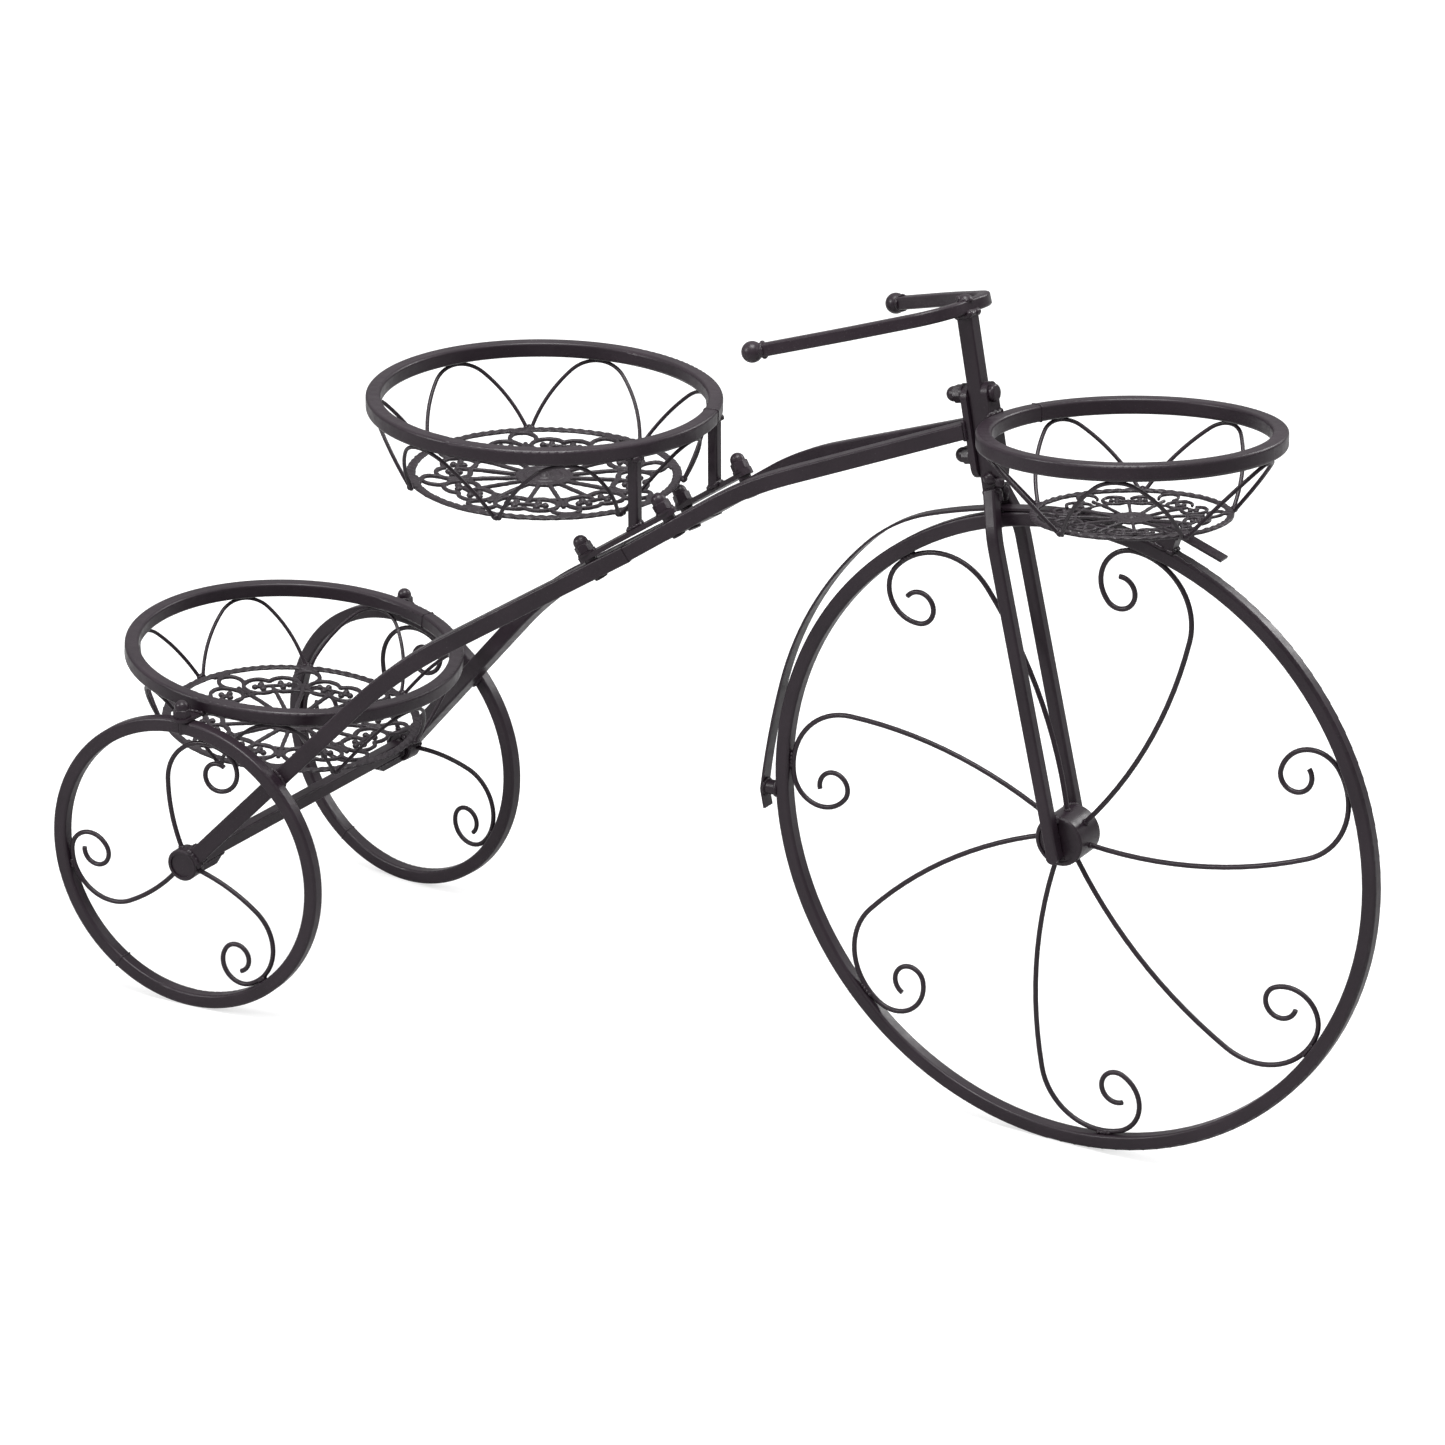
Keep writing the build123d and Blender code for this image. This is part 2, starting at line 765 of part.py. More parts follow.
def front_basket_place():
    """The front basket's rim bites a little into its plate, where it is welded on."""
    face = steerer_place(front_top_z - basket_tube_height / 2)
    plate_x = (face * Pos(steerer_size / 2 + basket_plate_thickness, 0, 0)).position.X
    middle_x = plate_x + front_rim_radius - rim_weld_bite
    return Pos(middle_x, 0, front_top_z) * Rot(0, front_pitch, 0) * Rot(front_lean, 0, 0)


def basket_rim(radius):
    """A square tube rolled to a ring."""
    section = RectangleRounded(basket_tube_width, basket_tube_height, basket_tube_rounding)
    middle = Pos(radius - basket_tube_width / 2, -basket_tube_height / 2)
    return revolve(Plane.XZ * middle * section, Axis.Z)


def arch_radii(half_width, height):
    """The side and crown radii that take an arch from its foot to its height with its headings."""
    foot = radians(arch_foot_heading)
    crown = radians(arch_crown_heading)
    side_x = sin(foot) - sin(crown)
    side_y = cos(crown) - cos(foot)
    crown_x = sin(crown)
    crown_y = 1 - cos(crown)
    scale = side_x * crown_y - crown_x * side_y
    side_radius = (half_width * crown_y - crown_x * height) / scale
    return side_radius, (side_x * height - side_y * half_width) / scale


def arch_line(rim_radius, floor_radius, depth, count):
    """One arch over +X: up from the floor's edge, round under the rim, and down again."""
    foot_radius = floor_radius + basket_wire / 2 + touch_gap
    foot_z = -depth - grille_thickness
    crown_radius = rim_radius - basket_tube_width / 2
    crown_z = -basket_tube_height - basket_wire / 2 - touch_gap
    half_turn = radians(180 / count)
    half_width = foot_radius * sin(half_turn) - arch_foot_gap
    middle = foot_radius * cos(half_turn)
    rise = Vector(crown_radius - middle, 0, crown_z - foot_z)
    plane = Plane(origin=(middle, 0, foot_z), x_dir=(0, 1, 0), z_dir=rise.cross(Vector(0, 1, 0)))
    side = 1 if plane.y_dir.Z > 0 else -1
    side_radius, crown_radius = arch_radii(half_width, rise.length)
    side_turn = arch_foot_heading - arch_crown_heading
    direction = Vector(1, 0, 0).rotate(Axis.Z, side * arch_foot_heading)
    turns = [(side_radius, side_turn), (crown_radius, 2 * arch_crown_heading), (side_radius, side_turn)]
    arcs = [(radius, -side * turn) for radius, turn in turns]
    return plane.location * Wire(arc_chain(Vector(-half_width, 0, 0), direction, arcs))


def arches(rim_radius, floor_radius, depth, count, turn):
    """The wire side of a basket: arches that meet in welds on the floor's edge."""
    line = arch_line(rim_radius, floor_radius, depth, count)
    one = sweep(Plane(origin=line @ 0, z_dir=line % 0) * Circle(basket_wire / 2), line)
    foot_radius = floor_radius + basket_wire / 2 + touch_gap
    weld = Pos(foot_radius, 0, -depth - grille_thickness / 2) * Sphere(foot_weld_radius)
    spacing = 360 / count
    pieces = []
    for number in range(count):
        pieces.append(Rot(0, 0, turn + number * spacing) * one)
        pieces.append(Rot(0, 0, turn + (number + 0.5) * spacing) * weld)
    over_floor = Pos(0, 0, -depth) * Cylinder(floor_radius, 4 * grille_thickness)
    return pieces[0].fuse(*pieces[1:]) - over_floor


def seat_wires():
    wires = arches(seat_rim_radius, seat_floor_radius, seat_depth, seat_arches, seat_arch_turn)
    return seat_place() * wires


def ring(radius, wall):
    return Circle(radius + wall / 2) - Circle(radius - wall / 2)


def ring_pair(radius, sector):
    """Two open rings side by side, with a stem and three leaves in each."""
    wall = radius * wall_share
    ring_radius = radius * ring_share
    turn = sector * ring_turn_sector_share
    places = [Rot(0, 0, side * turn) * Pos(radius * ring_place_share, 0) for side in (1, -1)]
    hollow = Circle(ring_radius - wall / 2)
    pair = places[0] * ring(ring_radius, wall) - places[1] * hollow
    pair += places[1] * ring(ring_radius, wall) - places[0] * hollow
    leaf = Circle(radius * leaf_share)
    spread = radius * leaf_spread_share
    for place, side in zip(places, (1, -1)):
        low = -side * spread / 2
        for leaf_x, leaf_y in ((-spread, low), (spread, low), (0, side * spread)):
            pair += place * Pos(leaf_x, leaf_y) * leaf
    reach = radius * ring_place_share * sin(radians(turn))
    stem_x = radius * ring_place_share * cos(radians(turn))
    return pair + Pos(stem_x, 0) * Rectangle(wall, 2 * (reach + spread))


def sector_pattern(radius, sectors):
    """What one sector of the grille holds, with its ring pair on +X."""
    sector = 360 / sectors
    wall = radius * wall_share
    inner = radius * disc_share
    pair = ring_pair(radius, sector)
    bar_end = radius * ring_place_share * cos(radians(sector * ring_turn_sector_share))
    bar_width = radius * bar_share
    pair += Pos((inner + bar_end) / 2, 0) * Rectangle(bar_end - inner + wall, bar_width)
    lobe_place = radius * lobe_place_share
    lobe_radius = radius * lobe_share
    keystone = ring(lobe_radius, wall)
    keystone += Pos((radius - lobe_place) / 2, 0) * Rectangle(
        radius - lobe_place - wall, radius * keystone_width_share
    ) - Circle(lobe_radius - wall / 2)
    half = Pos(lobe_place, 0) * keystone
    bar_top = lobe_place - lobe_radius
    half += Pos((inner + bar_top) / 2, 0) * Rectangle(bar_top - inner + wall, bar_width)
    return pair + Rot(0, 0, sector / 2) * half


def grille(radius, depth, sectors, turn):
    """A flat cast floor: a band, a lower disc in the middle, bars and a rosette of rings."""
    pattern = ring(radius * (1 - band_share / 2), radius * band_share)
    pattern += ring(radius * (disc_share + wall_share / 4), radius * wall_share)
    pattern += ring(radius * link_place_share, radius * wall_share)
    one = sector_pattern(radius, sectors)
    for number in range(sectors):
        pattern += Rot(0, 0, number * 360 / sectors) * one
    cast = extrude(pattern, -grille_thickness)
    drop = grille_thickness * disc_drop_share
    disc = Circle(radius * disc_share)
    cast += Pos(0, 0, -grille_thickness) * extrude(disc, grille_thickness - drop)
    relief = ring(radius * bead_share, radius * bead_width_share) + Circle(radius * boss_share)
    cast += Pos(0, 0, -drop) * extrude(relief, drop / 2)
    return Pos(0, 0, -depth) * Rot(0, 0, turn) * cast


def basket(name, place, rim_radius, floor_radius, depth, count, turn, sectors, floor_turn):
    return {
        name + "_basket_rim": place * basket_rim(rim_radius),
        name + "_basket_arches": place * arches(rim_radius, floor_radius, depth, count, turn),
        name + "_basket_floor": place * grille(floor_radius, depth, sectors, floor_turn),
    }


# The pieces, each under its own name


def both_sides(name, left_piece):
    """A piece and its mirror image on the right side."""
    return {name + "_left": left_piece, name + "_right": mirror(left_piece, about=Plane.XZ)}


def group(*solids):
    return Compound(children=list(solids))


def mirrored_group(solids):
    return group(*solids, *[mirror(solid, about=Plane.XZ) for solid in solids])


def front_end():
    tube = steerer_tube()
    legs = both_sides("fork_leg", fork_leg() - tube)
    for hole in head_holes():
        tube -= hole
    front_wheel = Pos(ahead(0), 0, front_wheel_radius)
    one = scroll(
        front_wheel_radius,
        front_hub_radius,
        front_scroll_root_share,
        front_scroll_root_angle,
        front_scroll_heading,
        front_scroll_shares,
    )
    rim_cut = front_basket_place() * basket_rim(front_rim_radius)
    return {
        "front_wheel_rim": front_wheel * wheel_rim(front_wheel_radius),
        "front_wheel_hub": front_wheel * wheel_hub(front_hub_radius, front_hub_length),
        "front_wheel_spokes": front_wheel * spokes(one, front_spoke_angles),
        "steerer_tube": tube,
        "handlebar": handlebar(),
        "handlebar_ball_left": handlebar_ball(0),
        "handlebar_ball_right": handlebar_ball(1),
        "handlebar_bolt": handlebar_bolt(),
        "front_basket_plate": basket_plate() - rim_cut,
        "fender": front_wheel * upright(fender_halves(fender_width, fender_thickness)),
        "fender_rear_stud": front_wheel * upright(fender_stud()),
        "fender_front_block": front_wheel * upright(fender_block()),
        **legs,
    }


def head_fasteners():
    stack = basket_plate_thickness + steerer_size + head_plate_thickness
    seat = stack + washer_thickness
    length = seat + nut_thread_depth - touch_gap
    one = bolt(length, bolt_head_radius, bolt_head_height)
    places = head_bolt_places()
    return {
        "head_plate": head_plate(),
        "head_bolts": group(*[place * one for place in places]),
        "head_washers": group(*[place * Pos(0, 0, stack) * washer() for place in places]),
        "head_acorn_nuts": group(*[place * Pos(0, 0, seat) * acorn_nut() for place in places]),
    }


def frame():
    top = strap_base() + strap_thickness
    posts = both_sides("seat_post", seat_post())
    wires = seat_wires()
    posts = {name: post - wires for name, post in posts.items()}
    return {
        **both_sides("front_frame_tube", front_tube()),
        **both_sides("rear_frame_tube", rear_tube()),
        **both_sides("splice_strap", splice_strap()),
        **posts,
        "strap_spacers": mirrored_group(strap_spacers()),
        "strap_bolts": mirrored_group(strap_bolts()),
        "strap_washers": mirrored_group(on_strap_bolts(washer(), top)),
        "strap_acorn_nuts": mirrored_group(on_strap_bolts(acorn_nut(), top + washer_thickness)),
    }


def rear_end():
    one = scroll(
        rear_wheel_radius,
        rear_hub_radius,
        rear_scroll_root_share,
        rear_scroll_root_angle,
        rear_scroll_heading,
        rear_scroll_shares,
    )
    nodes = {
        "rear_axle_bar": rear_axle(),
        **both_sides("axle_gusset", axle_gusset()),
        **both_sides("rear_basket_lug", lug()),
    }
    bolts = []
    nuts = []
    for side, name, angles in ((1, "left", left_spoke_angles), (-1, "right", right_spoke_angles)):
        place = rear_wheel_place(side)
        nodes["rear_wheel_rim_" + name] = place * wheel_rim(rear_wheel_radius) - lug_bolt_hole(side)
        nodes["rear_wheel_hub_" + name] = place * wheel_hub(rear_hub_radius, rear_hub_length)
        nodes["rear_wheel_spokes_" + name] = place * spokes(one, angles)
        bolts.append(lug_bolt(side))
        nuts.append(lug_bolt_place(side, lug_base_z() + lug_thickness) * acorn_nut())
    nodes["lug_bolts"] = group(*bolts)
    nodes["lug_acorn_nuts"] = group(*nuts)
    return nodes


def baskets():
    return {
        **basket(
            "seat", seat_place(), seat_rim_radius, seat_floor_radius, seat_depth,
            seat_arches, seat_arch_turn, large_sectors, seat_floor_turn,
        ),
        **basket(
            "rear", rear_basket_place(), rear_rim_radius, rear_floor_radius, rear_depth,
            rear_arches, rear_arch_turn, large_sectors, rear_floor_turn,
        ),
        **basket(
            "front", front_basket_place(), front_rim_radius, front_floor_radius, front_depth,
            front_arches, front_arch_turn, small_sectors, front_floor_turn,
        ),
    }


os.makedirs("parts", exist_ok=True)
for node, shape in {**front_end(), **head_fasteners(), **frame(), **rear_end(), **baskets()}.items():
    export_step(shape, f"parts/{node}.step")
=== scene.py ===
from math import ceil, cos, pi, radians, sin, sqrt

import bmesh
import bpy
from mathutils import Matrix, Vector, noise
from mathutils.bvhtree import BVHTree


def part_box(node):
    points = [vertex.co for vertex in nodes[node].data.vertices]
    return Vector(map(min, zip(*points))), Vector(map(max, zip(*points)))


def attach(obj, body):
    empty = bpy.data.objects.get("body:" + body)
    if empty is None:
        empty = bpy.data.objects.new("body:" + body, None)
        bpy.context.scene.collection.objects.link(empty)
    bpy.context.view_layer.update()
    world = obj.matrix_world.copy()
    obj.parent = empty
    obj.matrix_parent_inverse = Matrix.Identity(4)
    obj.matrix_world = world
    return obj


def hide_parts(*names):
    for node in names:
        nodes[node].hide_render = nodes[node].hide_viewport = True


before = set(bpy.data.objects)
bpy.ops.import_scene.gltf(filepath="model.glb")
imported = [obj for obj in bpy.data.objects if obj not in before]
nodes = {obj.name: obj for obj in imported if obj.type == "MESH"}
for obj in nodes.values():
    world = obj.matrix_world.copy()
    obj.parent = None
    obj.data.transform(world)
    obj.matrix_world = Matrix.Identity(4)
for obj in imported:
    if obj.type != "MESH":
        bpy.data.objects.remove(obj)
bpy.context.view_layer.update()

# The studio: a pale floor that runs out to white on every side, a sky that is brighter overhead
# than at its edge, and three broad lamps that draw the long pale streaks on the black tubes.
floor_reach = 14.0
floor_colour = (0.46, 0.46, 0.46, 1.0)
floor_lift = 0.62
white = (1.0, 1.0, 1.0, 1.0)
sky_low = 0.08
sky_high = 0.95
sky_low_at = -0.2
sky_high_at = 0.85
aim = Vector((0, 0, 0.25))
lamps = (
    ("lamp_over", (0.3, -0.5, 3.0), 1.6, 80.0),
    ("lamp_left", (-2.4, -2.6, 2.0), 1.2, 54.0),
    ("lamp_behind", (1.4, 3.0, 2.2), 1.4, 44.0),
)

floor_mesh = bpy.data.meshes.new("studio_floor")
floor_corners = [(x * floor_reach, y * floor_reach, 0) for x, y in ((-1, -1), (1, -1), (1, 1), (-1, 1))]
floor_mesh.from_pydata(floor_corners, [], [(0, 1, 2, 3)])
studio_floor = bpy.data.objects.new("studio_floor", floor_mesh)
bpy.context.scene.collection.objects.link(studio_floor)
floor_paint = bpy.data.materials.new("studio_floor_paint")
floor_paint.use_nodes = True
floor_nodes = floor_paint.node_tree.nodes
floor_links = floor_paint.node_tree.links
floor_matt = floor_nodes["Principled BSDF"]
floor_matt.inputs["Base Color"].default_value = floor_colour
floor_matt.inputs["Roughness"].default_value = 0.9
floor_matt.inputs["Specular IOR Level"].default_value = 0.1
floor_matt.inputs["Emission Color"].default_value = white
seen_by = floor_nodes.new("ShaderNodeLightPath")
lift = floor_nodes.new("ShaderNodeMath")
lift.operation = "MULTIPLY"
lift.inputs[1].default_value = floor_lift
floor_links.new(seen_by.outputs["Is Camera Ray"], lift.inputs[0])
floor_links.new(lift.outputs[0], floor_matt.inputs["Emission Strength"])
floor_mesh.materials.append(floor_paint)

sky = bpy.data.worlds.new("studio_sky")
bpy.context.scene.world = sky
sky.use_nodes = True
sky_nodes = sky.node_tree.nodes
sky_links = sky.node_tree.links
sky_glow = sky_nodes["Background"]
sky_glow.inputs["Color"].default_value = white
sky_way = sky_nodes.new("ShaderNodeTexCoord")
sky_height = sky_nodes.new("ShaderNodeSeparateXYZ")
sky_links.new(sky_way.outputs["Generated"], sky_height.inputs["Vector"])
sky_rise = sky_nodes.new("ShaderNodeMapRange")
sky_rise.inputs["From Min"].default_value = sky_low_at
sky_rise.inputs["From Max"].default_value = sky_high_at
sky_rise.inputs["To Min"].default_value = sky_low
sky_rise.inputs["To Max"].default_value = sky_high
sky_links.new(sky_height.outputs["Z"], sky_rise.inputs["Value"])
sky_path = sky_nodes.new("ShaderNodeLightPath")
sky_mix = sky_nodes.new("ShaderNodeMath")
sky_mix.operation = "MAXIMUM"
sky_links.new(sky_path.outputs["Is Camera Ray"], sky_mix.inputs[0])
sky_links.new(sky_rise.outputs["Result"], sky_mix.inputs[1])
sky_links.new(sky_mix.outputs[0], sky_glow.inputs["Strength"])

for name, place, size, power in lamps:
    lamp = bpy.data.lights.new(name, "AREA")
    lamp.shape = "DISK"
    lamp.size = size
    lamp.energy = power
    holder = bpy.data.objects.new(name, lamp)
    holder.location = place
    holder.rotation_euler = (aim - Vector(place)).to_track_quat("-Z", "Y").to_euler()
    bpy.context.scene.collection.objects.link(holder)

# The camera stands well back on the right of the stand, ahead of it and above it, with a long
# lens. Its place, aim and lens were worked out from the wheels and baskets in the photograph.
camera_target = Vector((-0.0021, 0, 0.22583))
camera_distance = 2.95184
camera_azimuth = radians(31.78)
camera_elevation = radians(21.51)
camera_roll = radians(-0.16)
camera_lens = 117.75
sensor_width = 36.0

backward = Vector(
    (
        sin(camera_azimuth) * cos(camera_elevation),
        -cos(camera_azimuth) * cos(camera_elevation),
        sin(camera_elevation),
    )
)
level_right = Vector((cos(camera_azimuth), sin(camera_azimuth), 0))
level_up = backward.cross(level_right)
camera_right = cos(camera_roll) * level_right + sin(camera_roll) * level_up
camera_up = -sin(camera_roll) * level_right + cos(camera_roll) * level_up
camera_turn = Matrix((camera_right, camera_up, backward)).transposed()
lens = bpy.data.cameras.new("camera")
lens.lens = camera_lens
lens.sensor_width = sensor_width
camera = bpy.data.objects.new("camera", lens)
camera.matrix_world = Matrix.Translation(camera_target + backward * camera_distance) @ camera_turn.to_4x4()
bpy.context.scene.collection.objects.link(camera)
bpy.context.scene.camera = camera
bpy.context.scene.view_settings.view_transform = "Standard"

# Front wheel: a square steel tube rolled to a ring, seven scrolled wires and a short drum, all
# welded together and powder coated satin black, with the orange peel and dust specks of such a coat.
coat_dark = (0.0150, 0.0092, 0.0138, 1.0)
coat_pale = (0.0235, 0.0152, 0.0215, 1.0)
coat_shine = 0.34
coat_dust = (0.07, 0.062, 0.066, 1.0)
front_spoke_angles = (21.0, 75.2, 125.6, 177.3, 224.4, 279.1, 328.0)
front_spoke_root_turn = -33.0
wheel_tube = 0.0092
wheel_tube_width = 0.0095
spoke_wire = 0.0032
spoke_weld = 0.0019
hub_weld = 0.0021
seam_bead = 0.00055
front_rim_seam = 104.0
bead_voxel = 0.00038
bead_lump = 0.0005
bead_grain = 420.0


def finish_nodes(paint, *names):
    """Gives each named CAD node its paint."""
    for node in names:
        mesh = nodes[node].data
        mesh.materials.clear()
        mesh.materials.append(paint)


def coated(name, dark, pale, roughness, peel, grain, cloud_scale=24.0, dust=0.72):
    """A black coat. peel is its skin's height in metres, grain the number of cells to the metre."""
    paint = bpy.data.materials.new(name)
    paint.use_nodes = True
    tree = paint.node_tree
    add, join = tree.nodes.new, tree.links.new
    coat = tree.nodes["Principled BSDF"]
    coat.inputs["Specular IOR Level"].default_value = coat_shine
    place = add("ShaderNodeTexCoord").outputs["Object"]

    def speckle(scale, detail):
        texture = add("ShaderNodeTexNoise")
        texture.inputs["Scale"].default_value = scale
        texture.inputs["Detail"].default_value = detail
        join(place, texture.inputs["Vector"])
        return texture.outputs["Fac"]

    def spread(value, low, high, to_low, to_high):
        ranged = add("ShaderNodeMapRange")
        ranged.inputs["From Min"].default_value = low
        ranged.inputs["From Max"].default_value = high
        ranged.inputs["To Min"].default_value = to_low
        ranged.inputs["To Max"].default_value = to_high
        join(value, ranged.inputs["Value"])
        return ranged.outputs["Result"]

    def blend(amount, first, second):
        mixed = add("ShaderNodeMix")
        mixed.data_type = "RGBA"
        join(amount, mixed.inputs["Factor"])
        for socket, colour in (("A", first), ("B", second)):
            if isinstance(colour, tuple):
                mixed.inputs[socket].default_value = colour
            else:
                join(colour, mixed.inputs[socket])
        return mixed.outputs["Result"]

    tone = blend(spread(speckle(cloud_scale, 4.0), 0.32, 0.70, 0.0, 1.0), dark, pale)
    motes = spread(speckle(1500.0, 1.0), dust, dust + 0.06, 0.0, 0.8)
    join(blend(motes, tone, coat_dust), coat.inputs["Base Color"])
    rubbed = speckle(170.0, 5.0)
    join(spread(rubbed, 0.3, 0.7, roughness - 0.05, roughness + 0.08), coat.inputs["Roughness"])
    skin = add("ShaderNodeBump")
    skin.inputs["Strength"].default_value = 1.0
    skin.inputs["Distance"].default_value = peel
    join(speckle(grain, 2.0), skin.inputs["Height"])
    join(skin.outputs["Normal"], coat.inputs["Normal"])
    return paint


def new_tree(name, sockets):
    """An empty Geometry Nodes tree with its inputs, each a name and a kind."""
    tree = bpy.data.node_groups.new(name, "GeometryNodeTree")
    tree.interface.new_socket("Geometry", in_out="INPUT", socket_type="NodeSocketGeometry")
    for socket, kind in sockets:
        tree.interface.new_socket(socket, in_out="INPUT", socket_type="NodeSocket" + kind)
    tree.interface.new_socket("Geometry", in_out="OUTPUT", socket_type="NodeSocketGeometry")
    return tree


def grown(name, mesh, tree, values):
    """The plain mesh that a tree grows from a start mesh, with its inputs set by their names."""
    seed_object = bpy.data.objects.new(name + "_start", mesh)
    bpy.context.scene.collection.objects.link(seed_object)
    modifier = seed_object.modifiers.new("grow", "NODES")
    modifier.node_group = tree
    for item in tree.interface.items_tree:
        if item.in_out == "INPUT" and item.name in values:
            modifier[item.identifier] = values[item.name]
    view = bpy.context.evaluated_depsgraph_get()
    made = bpy.data.meshes.new_from_object(seed_object.evaluated_get(view), depsgraph=view)
    bpy.data.objects.remove(seed_object)
    return made


def piece(name, mesh):
    """A finished piece that rides with the stand."""
    mesh.name = name
    made = bpy.data.objects.new(name, mesh)
    bpy.context.scene.collection.objects.link(made)
    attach(made, "root")
    return made


def weld_tree():
    """Lumps of weld on the start mesh's points, run together into one skin."""
    tree = new_tree(
        "weld_lumps",
        (("Voxel", "Float"), ("Lump", "Float"), ("Grain", "Float"), ("Seed", "Int"), ("Paint", "Material")),
    )
    add, join = tree.nodes.new, tree.links.new
    start = add("NodeGroupInput")
    end = add("NodeGroupOutput")
    ball = add("GeometryNodeMeshIcoSphere")
    ball.inputs["Radius"].default_value = 1.0
    ball.inputs["Subdivisions"].default_value = 3
    size = add("GeometryNodeInputNamedAttribute")
    size.data_type = "FLOAT"
    size.inputs["Name"].default_value = "size"
    stretch = add("FunctionNodeRandomValue")
    stretch.data_type = "FLOAT_VECTOR"
    stretch.inputs[0].default_value = (0.8, 0.8, 0.8)
    stretch.inputs[1].default_value = (1.2, 1.2, 1.2)
    join(start.outputs["Seed"], stretch.inputs["Seed"])
    scale = add("ShaderNodeVectorMath")
    scale.operation = "SCALE"
    join(stretch.outputs[0], scale.inputs["Vector"])
    join(size.outputs["Attribute"], scale.inputs["Scale"])
    lumps = add("GeometryNodeInstanceOnPoints")
    join(start.outputs["Geometry"], lumps.inputs["Points"])
    join(ball.outputs["Mesh"], lumps.inputs["Instance"])
    join(scale.outputs["Vector"], lumps.inputs["Scale"])
    loose = add("GeometryNodeRealizeInstances")
    join(lumps.outputs["Instances"], loose.inputs["Geometry"])
    cloud = add("GeometryNodeMeshToVolume")
    cloud.resolution_mode = "VOXEL_SIZE"
    join(loose.outputs["Geometry"], cloud.inputs["Mesh"])
    join(start.outputs["Voxel"], cloud.inputs["Voxel Size"])
    join(start.outputs["Voxel"], cloud.inputs["Interior Band Width"])
    skin = add("GeometryNodeVolumeToMesh")
    skin.resolution_mode = "VOXEL_SIZE"
    join(cloud.outputs["Volume"], skin.inputs["Volume"])
    join(start.outputs["Voxel"], skin.inputs["Voxel Size"])
    grain = add("ShaderNodeTexNoise")
    join(start.outputs["Grain"], grain.inputs["Scale"])
    centred = add("ShaderNodeMath")
    centred.operation = "SUBTRACT"
    centred.inputs[1].default_value = 0.5
    join(grain.outputs["Fac"], centred.inputs[0])
    height = add("ShaderNodeMath")
    height.operation = "MULTIPLY"
    join(centred.outputs[0], height.inputs[0])
    join(start.outputs["Lump"], height.inputs[1])
    outward = add("ShaderNodeVectorMath")
    outward.operation = "SCALE"
    join(add("GeometryNodeInputNormal").outputs["Normal"], outward.inputs["Vector"])
    join(height.outputs[0], outward.inputs["Scale"])
    rough = add("GeometryNodeSetPosition")
    join(skin.outputs["Mesh"], rough.inputs["Geometry"])
    join(outward.outputs["Vector"], rough.inputs["Offset"])
    smooth = add("GeometryNodeSetShadeSmooth")
    join(rough.outputs["Geometry"], smooth.inputs["Geometry"])
    solid = add("GeometryNodeRealizeInstances")
    join(smooth.outputs["Geometry"], solid.inputs["Geometry"])
    painted = add("GeometryNodeSetMaterial")
    join(solid.outputs["Geometry"], painted.inputs["Geometry"])
    join(start.outputs["Paint"], painted.inputs["Material"])
    join(painted.outputs["Geometry"], end.inputs["Geometry"])
    return tree


def welds(name, lumps, seed=1):
    """A welded joint's bead from its lumps, each a place and a radius."""
    mesh = bpy.data.meshes.new(name + "_points")
    mesh.from_pydata([tuple(place) for place, radius in lumps], [], [])
    sizes = mesh.attributes.new("size", "FLOAT", "POINT")
    sizes.data.foreach_set("value", [radius for place, radius in lumps])
    values = {"Voxel": bead_voxel, "Lump": bead_lump, "Grain": bead_grain, "Seed": seed, "Paint": black_coat}
    return piece(name, grown(name, mesh, weld_lumps, values))


def box_middle(node):
    low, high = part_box(node)
    return (Vector(low) + Vector(high)) / 2


def wheel_point(middle, toe, radius, angle):
    """A place in a wheel's plane at an angle seen from the right, 0 being the front."""
    turned = Vector((radius * cos(radians(angle)), 0, radius * sin(radians(angle))))
    return middle + Matrix.Rotation(toe, 3, "Z") @ turned


def bead(first, last, radius, count):
    """Lumps in a row from one place to another."""
    return [(first.lerp(last, step / (count - 1)), radius) for step in range(count)]


def spoke_lumps(middle, toe, outer, hub_radius, angles, root_turn):
    """The short bead where each scroll touches its rim, and the lump where it leaves the hub."""
    lumps = []
    inner = outer - wheel_tube - spoke_wire * 0.3
    for angle in angles:
        for side in (-1, 1):
            across = Matrix.Rotation(toe, 3, "Z") @ Vector((0, side * spoke_wire * 0.38, 0))
            first = wheel_point(middle, toe, inner, angle - 1.1) + across
            last = wheel_point(middle, toe, inner, angle + 1.1) + across
            lumps += bead(first, last, spoke_weld * 0.72, 4)
        lumps.append((wheel_point(middle, toe, hub_radius, angle + root_turn), hub_weld))
    return lumps


def seam_lumps(middle, toe, radius, angle, width, height):
    """The thin ridge left round a rolled tube where its two ends were butted and ground."""
    lumps = []
    half_width, half_height = width / 2, height / 2
    steps = 10
    for step in range(steps + 1):
        share = 2 * step / steps - 1
        for across, deep in ((share, 1), (share, -1), (1, share), (-1, share)):
            inset = 1 - 0.11 * (abs(across * deep)) ** 6
            place = wheel_point(middle, toe, radius + deep * half_height * inset, angle)
            lumps.append((place + Vector((0, across * half_width * inset, 0)), seam_bead))
    return lumps


